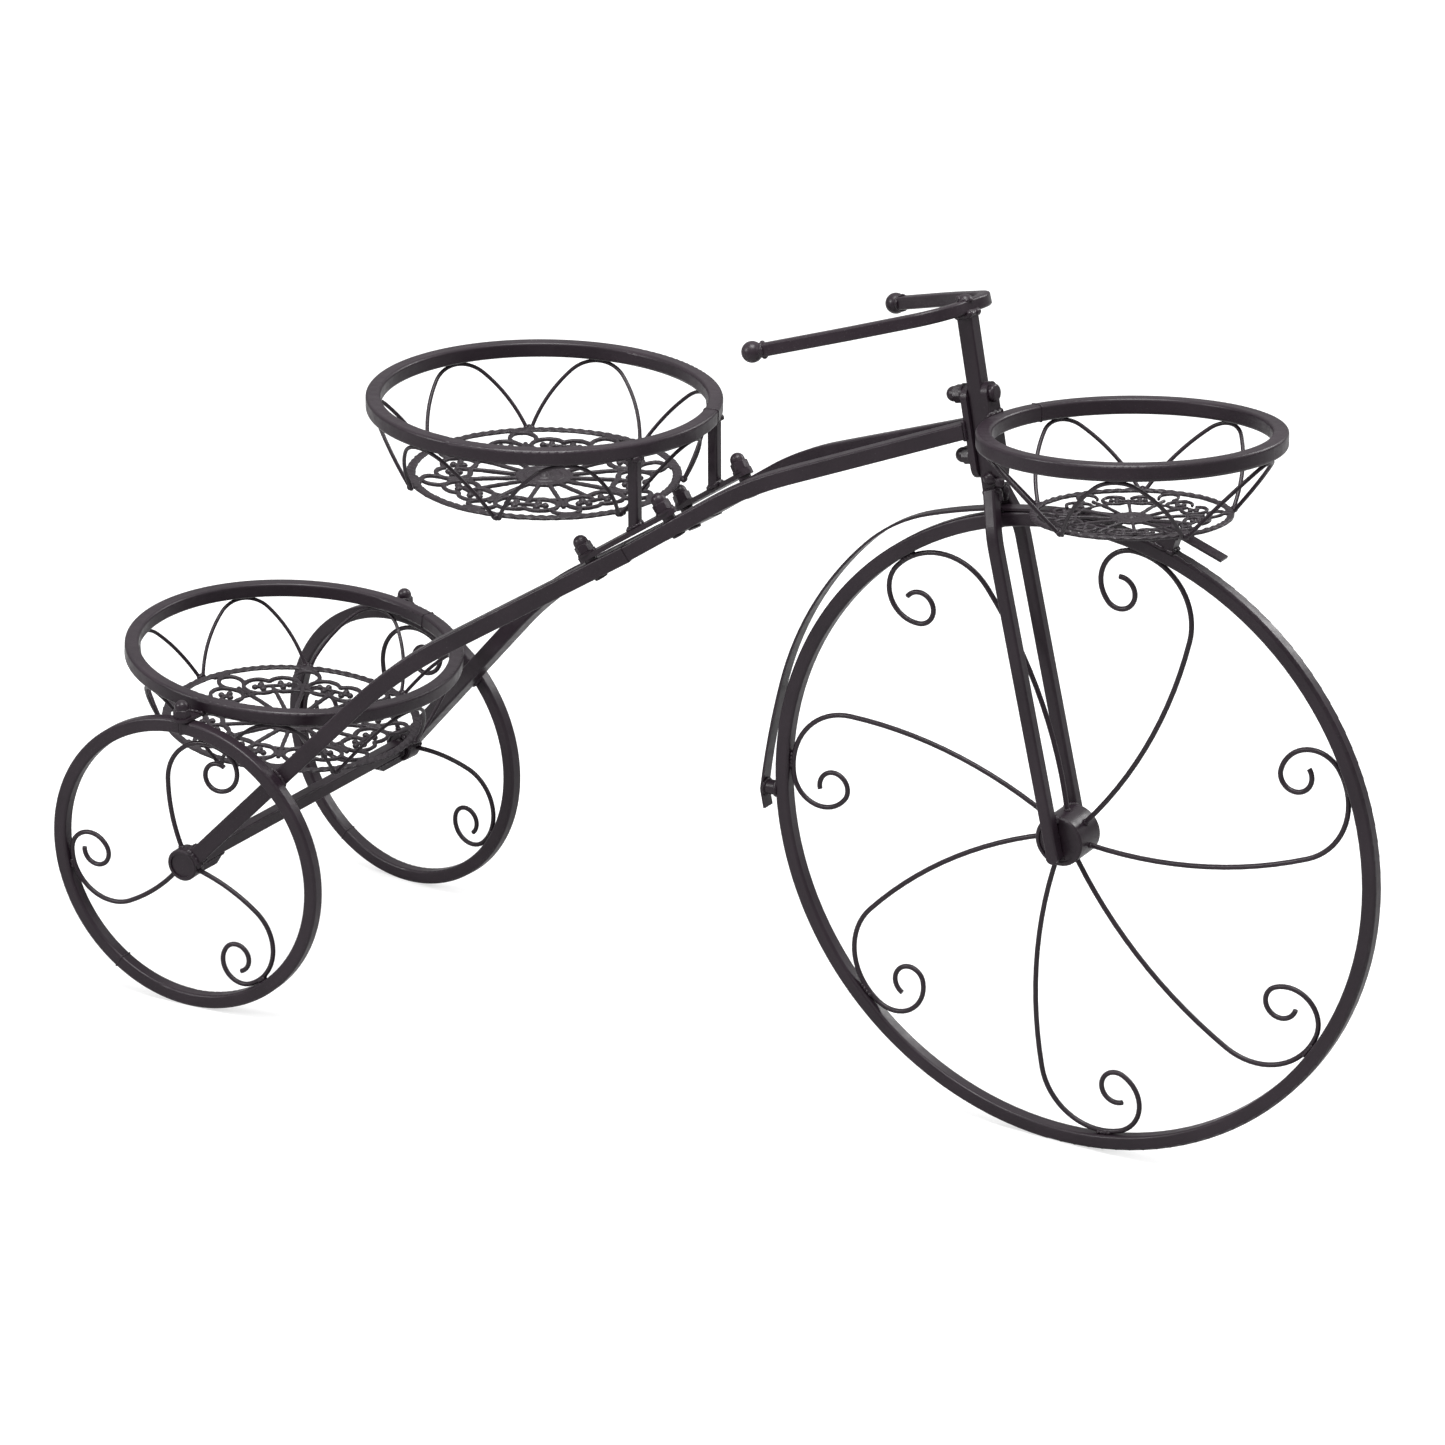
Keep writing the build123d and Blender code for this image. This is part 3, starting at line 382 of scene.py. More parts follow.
black_coat = coated("satin_black_coat", coat_dark, coat_pale, 0.34, 0.00005, 900.0)
weld_lumps = weld_tree()
finish_nodes(black_coat, "front_wheel_rim", "front_wheel_spokes", "front_wheel_hub")
front_middle = box_middle("front_wheel_rim")
front_radius = front_middle.z
front_hub_low, front_hub_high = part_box("front_wheel_hub")
front_hub_radius = (front_hub_high[2] - front_hub_low[2]) / 2
welds(
    "front_wheel_welds",
    spoke_lumps(front_middle, 0, front_radius, front_hub_radius, front_spoke_angles, front_spoke_root_turn),
)
welds(
    "front_rim_seam",
    seam_lumps(
        front_middle, 0, front_radius - wheel_tube / 2, front_rim_seam, wheel_tube_width, wheel_tube
    ),
)

# Steerer and fork: a raked square tube and two square bars that run down either side of the wheel
# and stand on the hub's faces. The weld has run down over the crown in two round drops.
joint_step = 0.0007
joint_near = 0.00025
joint_far = 0.0011
crown_weld = 0.0019
crown_drops = (
    ((0.1872, -0.0066, 0.4212), 0.0034),
    ((0.1938, -0.0058, 0.4196), 0.0029),
    ((0.1872, 0.0066, 0.4212), 0.0032),
)


def triangle_grid(corners, step):
    """Evenly spread places on a triangle, in rows along its longest side."""
    sides = [(corners[i] - corners[i - 1]).length for i in range(3)]
    longest = sides.index(max(sides))
    base_end, apex, base_start = corners[longest], corners[(longest + 1) % 3], corners[longest - 1]
    base = base_end - base_start
    height = base.cross(apex - base_start).length / max(base.length, 1e-9)
    rows = max(1, ceil(height / step))
    for row in range(rows + 1):
        share = row / rows
        left = base_start.lerp(apex, share)
        right = base_end.lerp(apex, share)
        steps = max(1, ceil((right - left).length / step))
        for number in range(steps + 1):
            yield left.lerp(right, number / steps)


def joint_lumps(node, other, radius, spacing=None):
    """Lumps of weld on a node, along the line where it meets another node."""
    spacing = spacing or radius * 0.8
    mesh = nodes[other].data
    corners = [vertex.co for vertex in mesh.vertices]
    tree = BVHTree.FromPolygons(corners, [tuple(face.vertices) for face in mesh.polygons])
    low, high = (Vector(corner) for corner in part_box(other))
    low -= Vector((joint_far,) * 3)
    high += Vector((joint_far,) * 3)

    def near_other(points):
        return all(
            max(p[axis] for p in points) >= low[axis] and min(p[axis] for p in points) <= high[axis]
            for axis in range(3)
        )

    own = nodes[node].data
    lumps = []
    taken = set()
    for face in own.polygons:
        points = [own.vertices[number].co.copy() for number in face.vertices]
        if not near_other(points):
            continue
        for place in triangle_grid(points, joint_step):
            if not near_other([place]):
                continue
            cell = tuple(round(value / spacing) for value in place)
            if cell in taken:
                continue
            distance = tree.find_nearest(place, joint_far)[3]
            if distance is not None and distance > joint_near:
                taken.add(cell)
                lumps.append((place, radius))
    return lumps


finish_nodes(black_coat, "steerer_tube", "fork_leg_left", "fork_leg_right")
fork_lumps = [(Vector(place), radius) for place, radius in crown_drops]
for side in ("left", "right"):
    fork_lumps += joint_lumps("fork_leg_" + side, "steerer_tube", crown_weld)
    fork_lumps += joint_lumps("front_wheel_hub", "fork_leg_" + side, 0.0013)
welds("fork_welds", fork_lumps)

# Handlebar: a square bar bent to a U, welded across the steerer's top with a rough bead and held
# by a low bolt, with a ball end on each arm. Its coat is scuffed where it was hung and handled.
bar_weld = 0.0021
bolt_rough = 0.0016
scuff_limit = 0.68

scuffed_coat = coated("scuffed_bar_coat", coat_dark, coat_pale, 0.33, 0.00006, 900.0, dust=scuff_limit)
finish_nodes(scuffed_coat, "handlebar", "handlebar_ball_left", "handlebar_ball_right")
bar_lumps = joint_lumps("steerer_tube", "handlebar", bar_weld)
bar_lumps += joint_lumps("handlebar_ball_left", "handlebar", 0.0009)
bar_lumps += joint_lumps("handlebar_ball_right", "handlebar", 0.0009)
welds("handlebar_welds", bar_lumps)

bolt_middle = box_middle("handlebar_bolt")
bolt_lumps = []
for number in range(9):
    turn = 2 * pi * number / 9
    offset = Vector((cos(turn), sin(turn), 0)) * 0.0038
    bolt_lumps.append((bolt_middle + offset + Vector((0, 0, -0.0006)), bolt_rough))
welds("handlebar_bolt_weld", bolt_lumps, seed=4)

# Head joint: the frame's plate and the front basket's plate, bolted together through the steerer
# by two M6 bolts with acorn nuts. The fasteners were coated in place, so their paint is thick.
nut_flats = 0.0100
nut_hex_height = 0.0052
nut_dome_radius = 0.0047
nut_height = 0.0112
nut_corner_cut = 0.0006
nut_slant = 0.55
nut_sides = 48
nut_flat_area = 0.0000004


def nut_shape():
    """An acorn nut on Z = 0: a hexagon with its corners cut to a cone, under a dome."""
    corner = nut_flats / 2 / cos(pi / 6)
    ring_radius = corner - nut_corner_cut

    def cone(z):
        edge = min(z, nut_hex_height - z)
        return ring_radius + edge / nut_slant

    levels = [0.0, 0.0003, 0.0006, nut_hex_height / 2, nut_hex_height - 0.0006, nut_hex_height - 0.0003]
    levels.append(nut_hex_height)
    shape = bmesh.new()
    rings = []
    for z in levels:
        ring = []
        for number in range(nut_sides):
            turn = 2 * pi * number / nut_sides
            flat = nut_flats / 2 / cos((turn + pi / 6) % (pi / 3) - pi / 6)
            radius = min(flat, cone(z))
            ring.append(shape.verts.new((radius * cos(turn), radius * sin(turn), z)))
        rings.append(ring)
    dome_base = nut_height - nut_dome_radius
    profile = [(nut_dome_radius + 0.0003, nut_hex_height), (nut_dome_radius, nut_hex_height + 0.0003)]
    for step in range(7):
        lift = pi / 2 * step / 7
        profile.append((nut_dome_radius * cos(lift), dome_base + nut_dome_radius * sin(lift)))
    for radius, z in profile:
        ring = []
        for number in range(nut_sides):
            turn = 2 * pi * number / nut_sides
            ring.append(shape.verts.new((radius * cos(turn), radius * sin(turn), z)))
        rings.append(ring)
    for lower, upper in zip(rings, rings[1:]):
        for number in range(nut_sides):
            following = (number + 1) % nut_sides
            shape.faces.new((lower[number], lower[following], upper[following], upper[number]))
    tip = shape.verts.new((0, 0, nut_height))
    foot = shape.verts.new((0, 0, 0))
    for number in range(nut_sides):
        following = (number + 1) % nut_sides
        shape.faces.new((rings[-1][number], rings[-1][following], tip))
        shape.faces.new((rings[0][following], rings[0][number], foot))
    mesh = bpy.data.meshes.new("acorn_nut_shape")
    shape.to_mesh(mesh)
    shape.free()
    return mesh


def nut_places(node):
    """Where each nut of a CAD node stands and which way its dome points."""
    shape = bmesh.new()
    shape.from_mesh(nodes[node].data)
    bmesh.ops.remove_doubles(shape, verts=shape.verts, dist=0.00001)
    left = set(shape.faces)
    places = []
    while left:
        island, edge_of_walk = set(), [left.pop()]
        while edge_of_walk:
            face = edge_of_walk.pop()
            island.add(face)
            for edge in face.edges:
                for neighbour in edge.link_faces:
                    if neighbour in left:
                        left.remove(neighbour)
                        edge_of_walk.append(neighbour)
        flats = [(face.normal.copy(), face.calc_area()) for face in island]
        wide = [normal for normal, area in flats if area > nut_flat_area]
        totals = [sum(area for other, area in flats if other.dot(normal) > 0.9995) for normal in wide]
        down = wide[totals.index(max(totals))]
        corners = {vertex for face in island for vertex in face.verts}
        lowest = max(vertex.co.dot(down) for vertex in corners)
        foot = [vertex.co for vertex in corners if vertex.co.dot(down) > lowest - 0.0001]
        rough = sum(foot, Vector()) / len(foot)
        rim = [place for place in foot if (place - rough).length > nut_flats * 0.45]
        places.append((sum(rim, Vector()) / len(rim), -down))
    shape.free()
    return places


def nut_tree():
    """A nut on each of the start mesh's points, turned to that point's axis."""
    tree = new_tree("nuts_on_bolts", (("Nut", "Object"), ("Paint", "Material")))
    add, join = tree.nodes.new, tree.links.new
    start = add("NodeGroupInput")
    end = add("NodeGroupOutput")
    shape = add("GeometryNodeObjectInfo")
    join(start.outputs["Nut"], shape.inputs["Object"])
    axis = add("GeometryNodeInputNamedAttribute")
    axis.data_type = "FLOAT_VECTOR"
    axis.inputs["Name"].default_value = "axis"
    turned = add("FunctionNodeAlignRotationToVector")
    turned.axis = "Z"
    join(axis.outputs["Attribute"], turned.inputs["Vector"])
    placed = add("GeometryNodeInstanceOnPoints")
    join(start.outputs["Geometry"], placed.inputs["Points"])
    join(shape.outputs["Geometry"], placed.inputs["Instance"])
    join(turned.outputs["Rotation"], placed.inputs["Rotation"])
    solid = add("GeometryNodeRealizeInstances")
    join(placed.outputs["Instances"], solid.inputs["Geometry"])
    painted = add("GeometryNodeSetMaterial")
    join(solid.outputs["Geometry"], painted.inputs["Geometry"])
    join(start.outputs["Paint"], painted.inputs["Material"])
    join(painted.outputs["Geometry"], end.inputs["Geometry"])
    return tree


def nuts(name, node):
    """The finished acorn nuts that stand for a CAD node's plain ones."""
    places = nut_places(node)
    mesh = bpy.data.meshes.new(name + "_points")
    mesh.from_pydata([tuple(place) for place, axis in places], [], [])
    axes = mesh.attributes.new("axis", "FLOAT_VECTOR", "POINT")
    axes.data.foreach_set("vector", [value for place, axis in places for value in axis])
    made = piece(name, grown(name, mesh, nuts_on_bolts, {"Nut": nut_model, "Paint": thick_coat}))
    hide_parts(node)


thick_coat = coated("thick_fastener_coat", coat_dark, coat_pale, 0.32, 0.00007, 420.0)
finish_nodes(thick_coat, "head_bolts", "head_washers", "handlebar_bolt")
finish_nodes(black_coat, "head_plate", "front_basket_plate")
nuts_on_bolts = nut_tree()
nut_model = bpy.data.objects.new("nut_model", nut_shape())
bpy.context.scene.collection.objects.link(nut_model)
nuts("head_nuts", "head_acorn_nuts")

# Fender: a thin strip that touches the wheel's top and is held off it by a stud behind and a
# block in front, each welded to the tread and to the strip.
finish_nodes(black_coat, "fender", "fender_rear_stud", "fender_front_block")
fender_lumps = []
for spacer in ("fender_rear_stud", "fender_front_block"):
    fender_lumps += joint_lumps(spacer, "front_wheel_rim", 0.0012)
    fender_lumps += joint_lumps(spacer, "fender", 0.0011)
welds("fender_welds", fender_lumps)

# Frame tubes and splice: two square tubes welded to the head plate, each slid into the tube behind
# it. A strap is bolted over each splice and carries the post that the seat basket stands on.
finish_nodes(
    black_coat,
    "front_frame_tube_left",
    "front_frame_tube_right",
    "rear_frame_tube_left",
    "rear_frame_tube_right",
    "splice_strap_left",
    "splice_strap_right",
    "seat_post_left",
    "seat_post_right",
    "strap_spacers",
)
finish_nodes(thick_coat, "strap_bolts", "strap_washers")
nuts("strap_nuts", "strap_acorn_nuts")
frame_lumps = []
for side in ("left", "right"):
    frame_lumps += joint_lumps("front_frame_tube_" + side, "head_plate", 0.0012)
    frame_lumps += joint_lumps("seat_post_" + side, "splice_strap_" + side, 0.0014)
    frame_lumps += joint_lumps("seat_post_" + side, "seat_basket_rim", 0.0019)
welds("frame_welds", frame_lumps)

# Rear wheels and axle: two small wheels of the same rolled tube and scrolled wire, toed in a little,
# on the ends of a square bar with a gusset under each end. The frame tubes are welded to the rims.
right_spoke_angles = (73.8, 190.9, 307.3)
left_spoke_angles = (79.0, 178.0, 328.0)
rear_spoke_root_turn = 33.0
toe_in = radians(4.8)
rear_radius = 0.1006
rear_rim_seam = 236.0

finish_nodes(black_coat, "rear_axle_bar")
for side, sign, angles in (("left", 1, left_spoke_angles), ("right", -1, right_spoke_angles)):
    rim = "rear_wheel_rim_" + side
    hub = "rear_wheel_hub_" + side
    finish_nodes(black_coat, rim, hub, "rear_wheel_spokes_" + side, "axle_gusset_" + side)
    toe = -sign * toe_in
    middle = box_middle(rim)
    hub_low, hub_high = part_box(hub)
    hub_radius = (hub_high[2] - hub_low[2]) / 2
    lumps = spoke_lumps(middle, toe, rear_radius, hub_radius, angles, rear_spoke_root_turn)
    lumps += joint_lumps("rear_frame_tube_" + side, rim, 0.0015)
    lumps += joint_lumps("rear_frame_tube_" + side, hub, 0.0016)
    lumps += joint_lumps("rear_axle_bar", hub, 0.0015)
    lumps += joint_lumps("axle_gusset_" + side, "rear_axle_bar", 0.0011)
    welds("rear_wheel_welds_" + side, lumps)
    welds(
        "rear_rim_seam_" + side,
        seam_lumps(middle, toe, rear_radius - wheel_tube / 2, rear_rim_seam, wheel_tube_width, wheel_tube),
    )

# Rear basket lugs: a tab welded under each side of the basket's rim and bolted down through the
# top of the wheel, under an acorn nut.
finish_nodes(black_coat, "rear_basket_lug_left", "rear_basket_lug_right")
finish_nodes(thick_coat, "lug_bolts")
nuts("lug_nuts", "lug_acorn_nuts")
lug_lumps = []
for side in ("left", "right"):
    lug_lumps += joint_lumps("rear_basket_lug_" + side, "rear_basket_rim", 0.0013)
welds("lug_welds", lug_lumps)

# Baskets: a rim of rolled square tube, a side of thin wire bent to arches and welded under the rim
# and to the floor's edge. Each is a little out of level, as it was welded.
basket_tube_width = 0.0095
basket_tube_height = 0.0100
basket_wire = 0.0025
crown_bead = 0.0015
foot_bead = 0.0021
# name: rim radius, floor radius, depth, pitch, lean, arches, arch turn, seam angle
baskets = {
    "seat": (0.1114, 0.0867, 0.0512, 1.5, 0.0, 7, 1.5, 18.0),
    "rear": (0.1116, 0.0860, 0.0520, 5.0, 0.0, 7, -9.0, 70.0),
    "front": (0.0903, 0.0595, 0.0492, -3.5, -3.7, 5, 3.0, 158.0),
}
grille_thickness = 0.0026


def basket_frame(name):
    """A basket's own frame: its origin at the middle of the rim's top, +Z out of the basket."""
    pitch, lean = baskets[name][3:5]
    turn = Matrix.Rotation(radians(pitch), 4, "Y") @ Matrix.Rotation(radians(lean), 4, "X")
    middle = Matrix.Translation(box_middle(name + "_basket_rim"))
    return middle @ turn @ Matrix.Translation((0, 0, basket_tube_height / 2))


def polar(radius, angle, z):
    return Vector((radius * cos(radians(angle)), radius * sin(radians(angle)), z))


def basket_welds(name):
    """A small bead where each arch meets the rim, and a drop where two arches meet the floor."""
    rim_radius, floor_radius, depth, pitch, lean, count, turn, seam = baskets[name]
    place = basket_frame(name)
    crown_radius = rim_radius - basket_tube_width / 2
    foot_radius = floor_radius + basket_wire / 2
    lumps = []
    for number in range(count):
        crown = turn + number * 360 / count
        for offset in (-2.2, -1.1, 0, 1.1, 2.2):
            spot = polar(crown_radius, crown + offset, -basket_tube_height - 0.0004)
            lumps.append((place @ spot, crown_bead * (1 - 0.16 * abs(offset))))
        foot = crown + 180 / count
        for offset, size in ((-1.4, 0.75), (0, 1.0), (1.4, 0.75)):
            spot = polar(foot_radius, foot + offset, -depth - grille_thickness / 2)
            lumps.append((place @ spot, foot_bead * size))
    steps = 10
    middle_radius = rim_radius - basket_tube_width / 2
    for step in range(steps + 1):
        share = 2 * step / steps - 1
        for across, deep in ((share, 1), (share, -1), (1, share), (-1, share)):
            inset = 1 - 0.11 * (abs(across * deep)) ** 6
            radius = middle_radius + across * basket_tube_width / 2 * inset
            z = -basket_tube_height / 2 + deep * basket_tube_height / 2 * inset
            lumps.append((place @ polar(radius, seam, z), seam_bead))
    return lumps


for name in baskets:
    finish_nodes(black_coat, name + "_basket_rim", name + "_basket_arches")
    welds(name + "_basket_welds", basket_welds(name), seed=7)
welds("plate_welds", joint_lumps("front_basket_plate", "front_basket_rim", 0.0015))

# Basket floors: cast iron grilles. A ridged band, a lowered disc with two rings and a boss, bars,
# and a rosette of paired open rings that each hold a trefoil, sunk a little below the band.
floor_values = {
    "seat": (8, 22.5),
    "rear": (8, 5.5),
    "front": (6, 0.0),
}
cast_dark = (0.0175, 0.0128, 0.0168, 1.0)
cast_pale = (0.029, 0.0225, 0.0275, 1.0)
floor_voxel = 0.00055
band_share = 0.072
disc_share = 0.195
bead_share = 0.138
boss_share = 0.07
bar_share = 0.034
wall_share = 0.034
ring_share = 0.127
ring_place_share = 0.657
ring_turn_sector_share = 0.19
lobe_share = 0.098
lobe_place_share = 0.80
link_place_share = 0.545
leaf_share = 0.027
leaf_spread_share = 0.040
keystone_share = 0.15
ring_opening = 78.0
lobe_opening = 96.0
floor_dish = 0.0016
disc_drop = 0.0026
ridge_height = 0.00026
ridges_to_metre = 300.0
cast_lump = 0.00022
cast_grain = 260.0


def floor_tree():
    """One sector of the pattern set round the middle, with the band and the disc, run together."""
    lengths = (
        "Ring Place", "Ring Radius", "Lobe Place", "Lobe Radius", "Link Radius", "Wall", "Bar", "Band Radius",
        "Band Width", "Thickness", "Disc Radius", "Bead Radius", "Boss Radius", "Leaf", "Leaf Spread",
        "Keystone", "Radius", "Voxel",
    )
    angles = ("Sector", "Ring Turn", "Ring Opening", "Lobe Opening")
    sockets = [(name, "Float") for name in lengths + angles] + [("Sectors", "Int"), ("Paint", "Material")]
    tree = new_tree("cast_floor", sockets)
    add, join = tree.nodes.new, tree.links.new
    start = add("NodeGroupInput")
    end = add("NodeGroupOutput")

    def feed(value, socket):
        if isinstance(value, (int, float)):
            socket.default_value = value
        else:
            join(value, socket)

    def math(operation, first, second=0.0):
        node = add("ShaderNodeMath")
        node.operation = operation
        feed(first, node.inputs[0])
        feed(second, node.inputs[1])
        return node.outputs[0]

    def vector(x, y=0.0, z=0.0):
        node = add("ShaderNodeCombineXYZ")
        for value, socket in zip((x, y, z), node.inputs):
            feed(value, socket)
        return node.outputs[0]

    def moved(shape, by=None, turn=None, scale=None):
        node = add("GeometryNodeTransform")
        join(shape, node.inputs["Geometry"])
        if by is not None:
            join(by, node.inputs["Translation"])
        if turn is not None:
            join(turn, node.inputs["Rotation"])
        if scale is not None:
            join(scale, node.inputs["Scale"])
        return node.outputs["Geometry"]

    def together(*shapes):
        node = add("GeometryNodeJoinGeometry")
        for shape in shapes:
            join(shape, node.inputs["Geometry"])
        return node.outputs["Geometry"]

    def rod(curve, radius):
        profile = add("GeometryNodeCurvePrimitiveCircle")
        profile.inputs["Resolution"].default_value = 10
        feed(radius, profile.inputs["Radius"])
        node = add("GeometryNodeCurveToMesh")
        join(curve, node.inputs["Curve"])
        join(profile.outputs["Curve"], node.inputs["Profile Curve"])
        node.inputs["Fill Caps"].default_value = True
        return node.outputs["Mesh"]

    def circle(radius, resolution=96):
        node = add("GeometryNodeCurvePrimitiveCircle")
        node.inputs["Resolution"].default_value = resolution
        feed(radius, node.inputs["Radius"])
        return node.outputs["Curve"]

    def arc(radius, from_angle, sweep):
        node = add("GeometryNodeCurveArc")
        node.inputs["Resolution"].default_value = 32
        feed(radius, node.inputs["Radius"])
        feed(from_angle, node.inputs["Start Angle"])
        feed(sweep, node.inputs["Sweep Angle"])
        return node.outputs["Curve"]

    def line(first, last):
        node = add("GeometryNodeCurvePrimitiveLine")
        join(first, node.inputs["Start"])
        join(last, node.inputs["End"])
        return node.outputs["Curve"]

    def pebble(radius, flat=1.0):
        node = add("GeometryNodeMeshUVSphere")
        node.inputs["Segments"].default_value = 16
        node.inputs["Rings"].default_value = 8
        feed(radius, node.inputs["Radius"])
        return moved(node.outputs["Mesh"], scale=vector(1.0, 1.0, flat))

    def disc(radius, depth):
        node = add("GeometryNodeMeshCylinder")
        node.inputs["Vertices"].default_value = 64
        feed(radius, node.inputs["Radius"])
        feed(depth, node.inputs["Depth"])
        return node.outputs["Mesh"]

    given = start.outputs
    half_wall = math("MULTIPLY", given["Wall"], 0.5)
    half_bar = math("MULTIPLY", given["Bar"], 0.5)
    # The right ring of a pair, open towards the left one, with its trefoil
    opening = given["Ring Opening"]
    sweep = math("SUBTRACT", 2 * pi, opening)
    ring = rod(arc(given["Ring Radius"], math("ADD", math("MULTIPLY", opening, 0.5), pi / 2), sweep), half_wall)
    spread = given["Leaf Spread"]
    leaves = together(
        moved(pebble(given["Leaf"], 0.8), by=vector(math("MULTIPLY", spread, -1.0), math("MULTIPLY", spread, 0.45))),
        moved(pebble(given["Leaf"], 0.8), by=vector(spread, math("MULTIPLY", spread, 0.45))),
        moved(pebble(given["Leaf"], 0.8), by=vector(0.0, math("MULTIPLY", spread, -1.0))),
        rod(
            line(vector(0.0, math("MULTIPLY", spread, -1.0)), vector(0.0, given["Ring Radius"])),
            math("MULTIPLY", half_wall, 0.85),
        ),
    )
    faced = moved(together(ring, leaves), turn=vector(0.0, 0.0, given["Ring Turn"]))
    side = moved(faced, by=vector(given["Ring Place"]))
    right = moved(side, turn=vector(0.0, 0.0, math("MULTIPLY", given["Ring Turn"], -1.0)))
    left = moved(right, scale=vector(1.0, -1.0, 1.0))
    flipped = add("GeometryNodeFlipFaces")
    join(left, flipped.inputs["Mesh"])
    pair_bar = rod(line(vector(given["Disc Radius"]), vector(given["Ring Place"])), half_bar)
    # The lobe between two pairs, open to the middle, tied to the band by a keystone
    lobe_opening = given["Lobe Opening"]
    lobe_sweep = math("SUBTRACT", 2 * pi, lobe_opening)
    lobe_arc = arc(given["Lobe Radius"], math("ADD", math("MULTIPLY", lobe_opening, 0.5), pi), lobe_sweep)
    lobe = moved(rod(lobe_arc, half_wall), by=vector(given["Lobe Place"]))
    keystone_reach = math("SUBTRACT", given["Band Radius"], math("MULTIPLY", given["Keystone"], 0.25))
    key_low = vector(keystone_reach, math("MULTIPLY", given["Keystone"], -0.5))
    key_high = vector(keystone_reach, math("MULTIPLY", given["Keystone"], 0.5))
    keystone = rod(line(key_low, key_high), math("MULTIPLY", half_wall, 0.95))
    lobe_bar_end = math("SUBTRACT", given["Lobe Place"], math("MULTIPLY", given["Lobe Radius"], 0.9))
    lobe_bar = rod(line(vector(given["Disc Radius"]), vector(lobe_bar_end)), half_bar)
    half_sector = math("MULTIPLY", given["Sector"], 0.5)
    between = moved(together(lobe, keystone, lobe_bar), turn=vector(0.0, 0.0, half_sector))
    sector = together(right, flipped.outputs["Mesh"], pair_bar, between)
    # The sectors round the middle
    hub_points = add("GeometryNodePoints")
    join(given["Sectors"], hub_points.inputs["Count"])
    number = add("GeometryNodeInputIndex").outputs["Index"]
    around = add("GeometryNodeInstanceOnPoints")
    join(hub_points.outputs["Points"], around.inputs["Points"])
    join(sector, around.inputs["Instance"])
    join(vector(0.0, 0.0, math("MULTIPLY", number, given["Sector"])), around.inputs["Rotation"])
    band_profile = add("GeometryNodeCurvePrimitiveCircle")
    band_profile.inputs["Resolution"].default_value = 20
    band_profile.inputs["Radius"].default_value = 0.5
    band_section = moved(
        band_profile.outputs["Curve"], scale=vector(given["Band Width"], given["Thickness"], 1.0)
    )
    band = add("GeometryNodeCurveToMesh")
    join(circle(given["Band Radius"], 144), band.inputs["Curve"])
    join(band_section, band.inputs["Profile Curve"])
    link = rod(circle(given["Link Radius"]), math("MULTIPLY", half_wall, 0.8))
    plate = disc(given["Disc Radius"], math("MULTIPLY", given["Thickness"], 0.45))
    lip = rod(circle(given["Disc Radius"], 64), math("MULTIPLY", half_wall, 0.95))
    low = vector(0.0, 0.0, math("MULTIPLY", given["Thickness"], 0.3))
    beads = moved(rod(circle(given["Bead Radius"], 64), math("MULTIPLY", half_wall, 0.62)), by=low)
    boss_ring = moved(rod(circle(given["Boss Radius"], 48), math("MULTIPLY", half_wall, 0.6)), by=low)
    boss = moved(pebble(math("MULTIPLY", given["Boss Radius"], 0.62), 0.55), by=low)
    whole = together(around.outputs["Instances"], band.outputs["Mesh"], link, plate, lip, beads, boss_ring, boss)
    loose = add("GeometryNodeRealizeInstances")
    join(whole, loose.inputs["Geometry"])
    cloud = add("GeometryNodeMeshToVolume")
    cloud.resolution_mode = "VOXEL_SIZE"
    join(loose.outputs["Geometry"], cloud.inputs["Mesh"])
    join(given["Voxel"], cloud.inputs["Voxel Size"])
    join(given["Voxel"], cloud.inputs["Interior Band Width"])
    skin = add("GeometryNodeVolumeToMesh")
    skin.resolution_mode = "VOXEL_SIZE"
    join(cloud.outputs["Volume"], skin.inputs["Volume"])
    join(given["Voxel"], skin.inputs["Voxel Size"])
    smooth = add("GeometryNodeSetShadeSmooth")
    join(skin.outputs["Mesh"], smooth.inputs["Geometry"])
    solid = add("GeometryNodeRealizeInstances")
    join(smooth.outputs["Geometry"], solid.inputs["Geometry"])
    painted = add("GeometryNodeSetMaterial")
    join(solid.outputs["Geometry"], painted.inputs["Geometry"])
    join(given["Paint"], painted.inputs["Material"])
    join(painted.outputs["Geometry"], end.inputs["Geometry"])
    return tree


def smoothstep(value, low, high):
    share = min(1.0, max(0.0, (value - low) / (high - low)))
    return share * share * (3 - 2 * share)


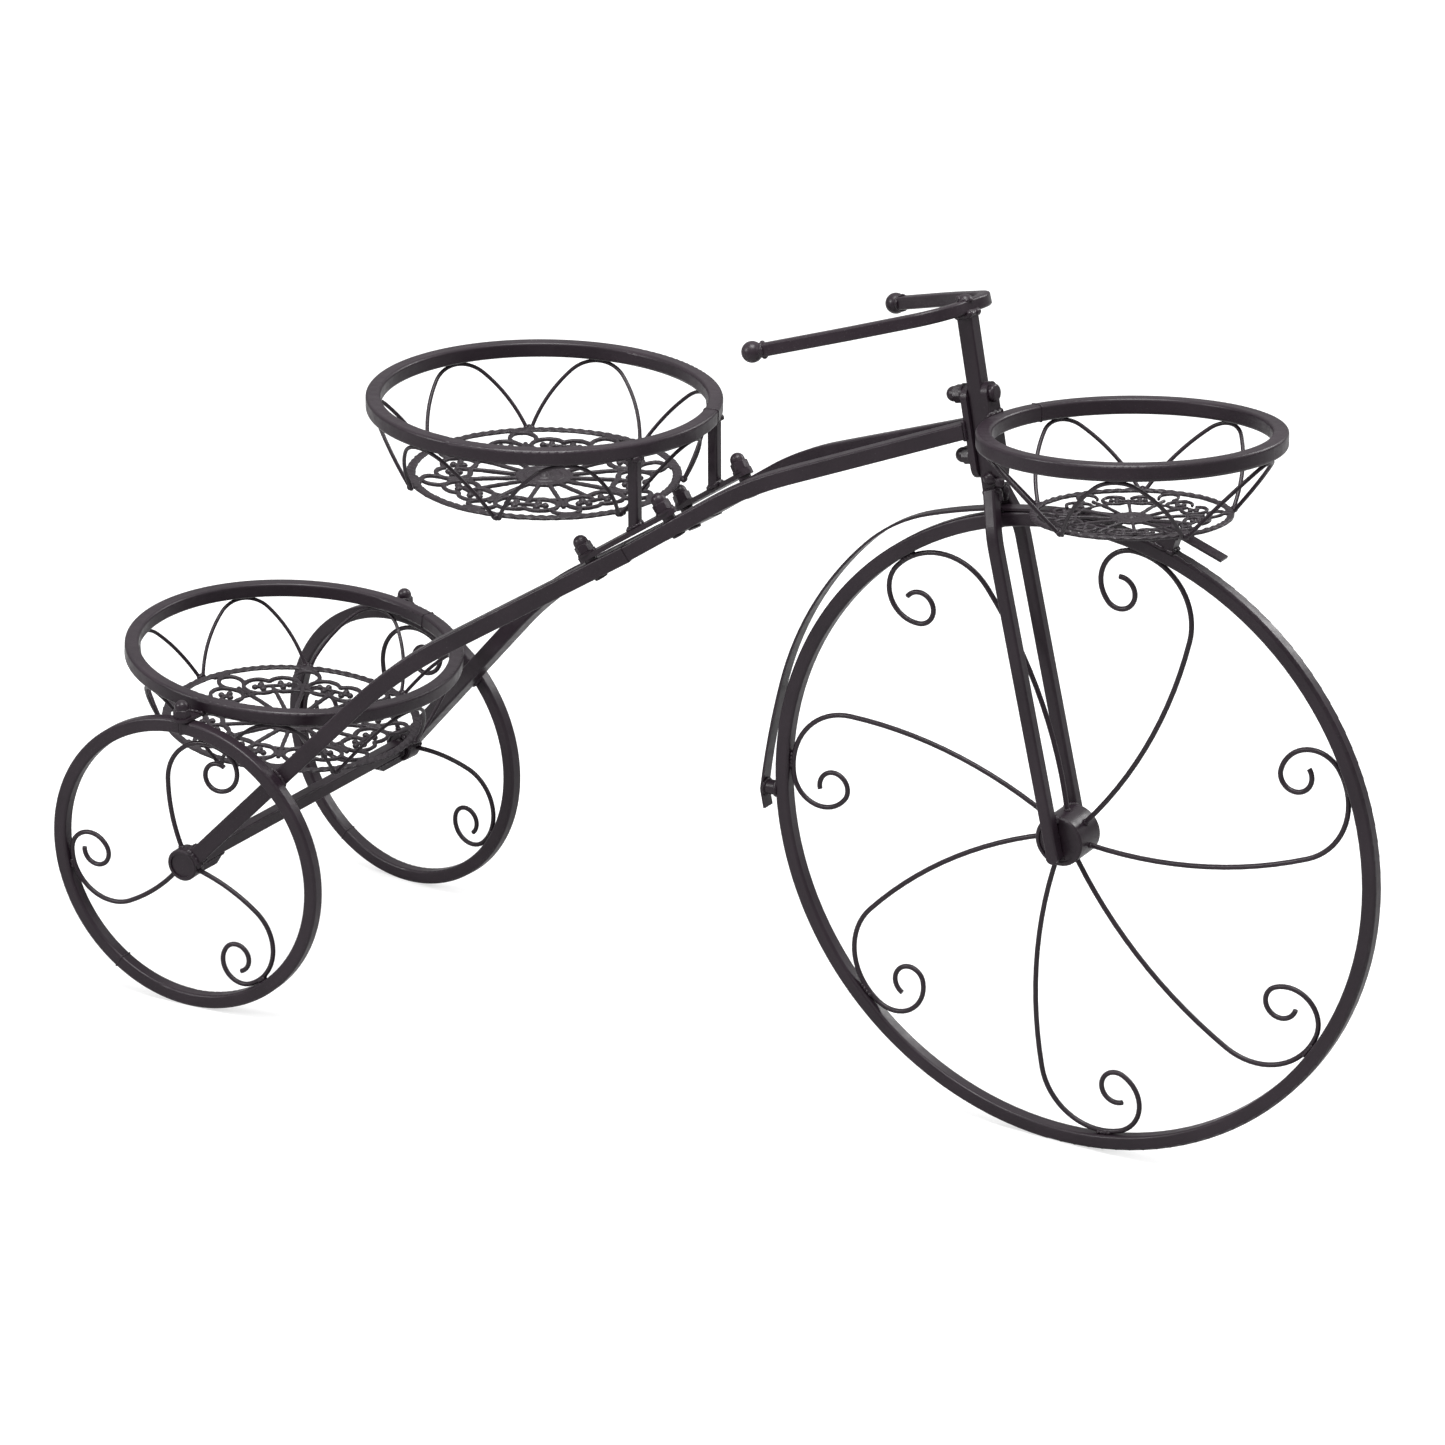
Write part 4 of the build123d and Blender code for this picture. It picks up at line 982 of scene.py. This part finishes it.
def shape_floor(mesh, radius):
    """Sinks the pattern below the band and the disc below that, ridges the band, roughens all."""
    ridges = round(2 * pi * radius * ridges_to_metre / 2)
    band_inner = radius * (1 - band_share)
    normals = [vertex.normal.copy() for vertex in mesh.vertices]
    places = []
    for vertex, normal in zip(mesh.vertices, normals):
        place = vertex.co.copy()
        from_middle = sqrt(place.x**2 + place.y**2)
        turn = Vector((place.x, place.y)).angle_signed(Vector((1, 0)), 0.0)
        sink = floor_dish * (1 - smoothstep(from_middle, radius * 0.70, band_inner))
        sink += (disc_drop - floor_dish) * (1 - smoothstep(from_middle, radius * 0.16, radius * 0.5))
        if from_middle > band_inner:
            top = smoothstep(place.z, -0.0002, 0.0006)
            wave = sin(ridges * turn + 60 * (from_middle - radius) / radius)
            place.z += top * ridge_height * (wave - 0.6)
        place.z -= sink
        lump = noise.noise(place * cast_grain) * cast_lump
        places.extend(place + normal * lump)
    mesh.vertices.foreach_set("co", places)
    mesh.update()


cast_coat = coated("cast_grille_coat", cast_dark, cast_pale, 0.44, 0.0001, 650.0, cloud_scale=60.0)
cast_floor = floor_tree()
for name, (sectors, floor_turn) in floor_values.items():
    radius, depth = baskets[name][1:3]
    sector = 2 * pi / sectors
    values = {
        "Ring Place": radius * ring_place_share,
        "Ring Radius": radius * ring_share,
        "Lobe Place": radius * lobe_place_share,
        "Lobe Radius": radius * lobe_share,
        "Link Radius": radius * link_place_share,
        "Wall": radius * wall_share,
        "Bar": radius * bar_share,
        "Band Radius": radius * (1 - band_share / 2),
        "Band Width": radius * band_share,
        "Thickness": grille_thickness,
        "Disc Radius": radius * disc_share,
        "Bead Radius": radius * bead_share,
        "Boss Radius": radius * boss_share,
        "Leaf": radius * leaf_share,
        "Leaf Spread": radius * leaf_spread_share,
        "Keystone": radius * keystone_share,
        "Radius": radius,
        "Voxel": floor_voxel,
        "Sector": sector,
        "Ring Turn": sector * ring_turn_sector_share,
        "Ring Opening": radians(ring_opening),
        "Lobe Opening": radians(lobe_opening),
        "Sectors": sectors,
        "Paint": cast_coat,
    }
    start_mesh = bpy.data.meshes.new(name + "_floor_start")
    mesh = grown(name + "_floor", start_mesh, cast_floor, values)
    shape_floor(mesh, radius)
    place = basket_frame(name) @ Matrix.Translation((0, 0, -depth - grille_thickness / 2))
    mesh.transform(place @ Matrix.Rotation(radians(floor_turn), 4, "Z"))
    made = piece(name + "_cast_floor", mesh)
    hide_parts(name + "_basket_floor")

bpy.data.objects.remove(nut_model)

# The view layer is brought up to date.
bpy.context.view_layer.update()
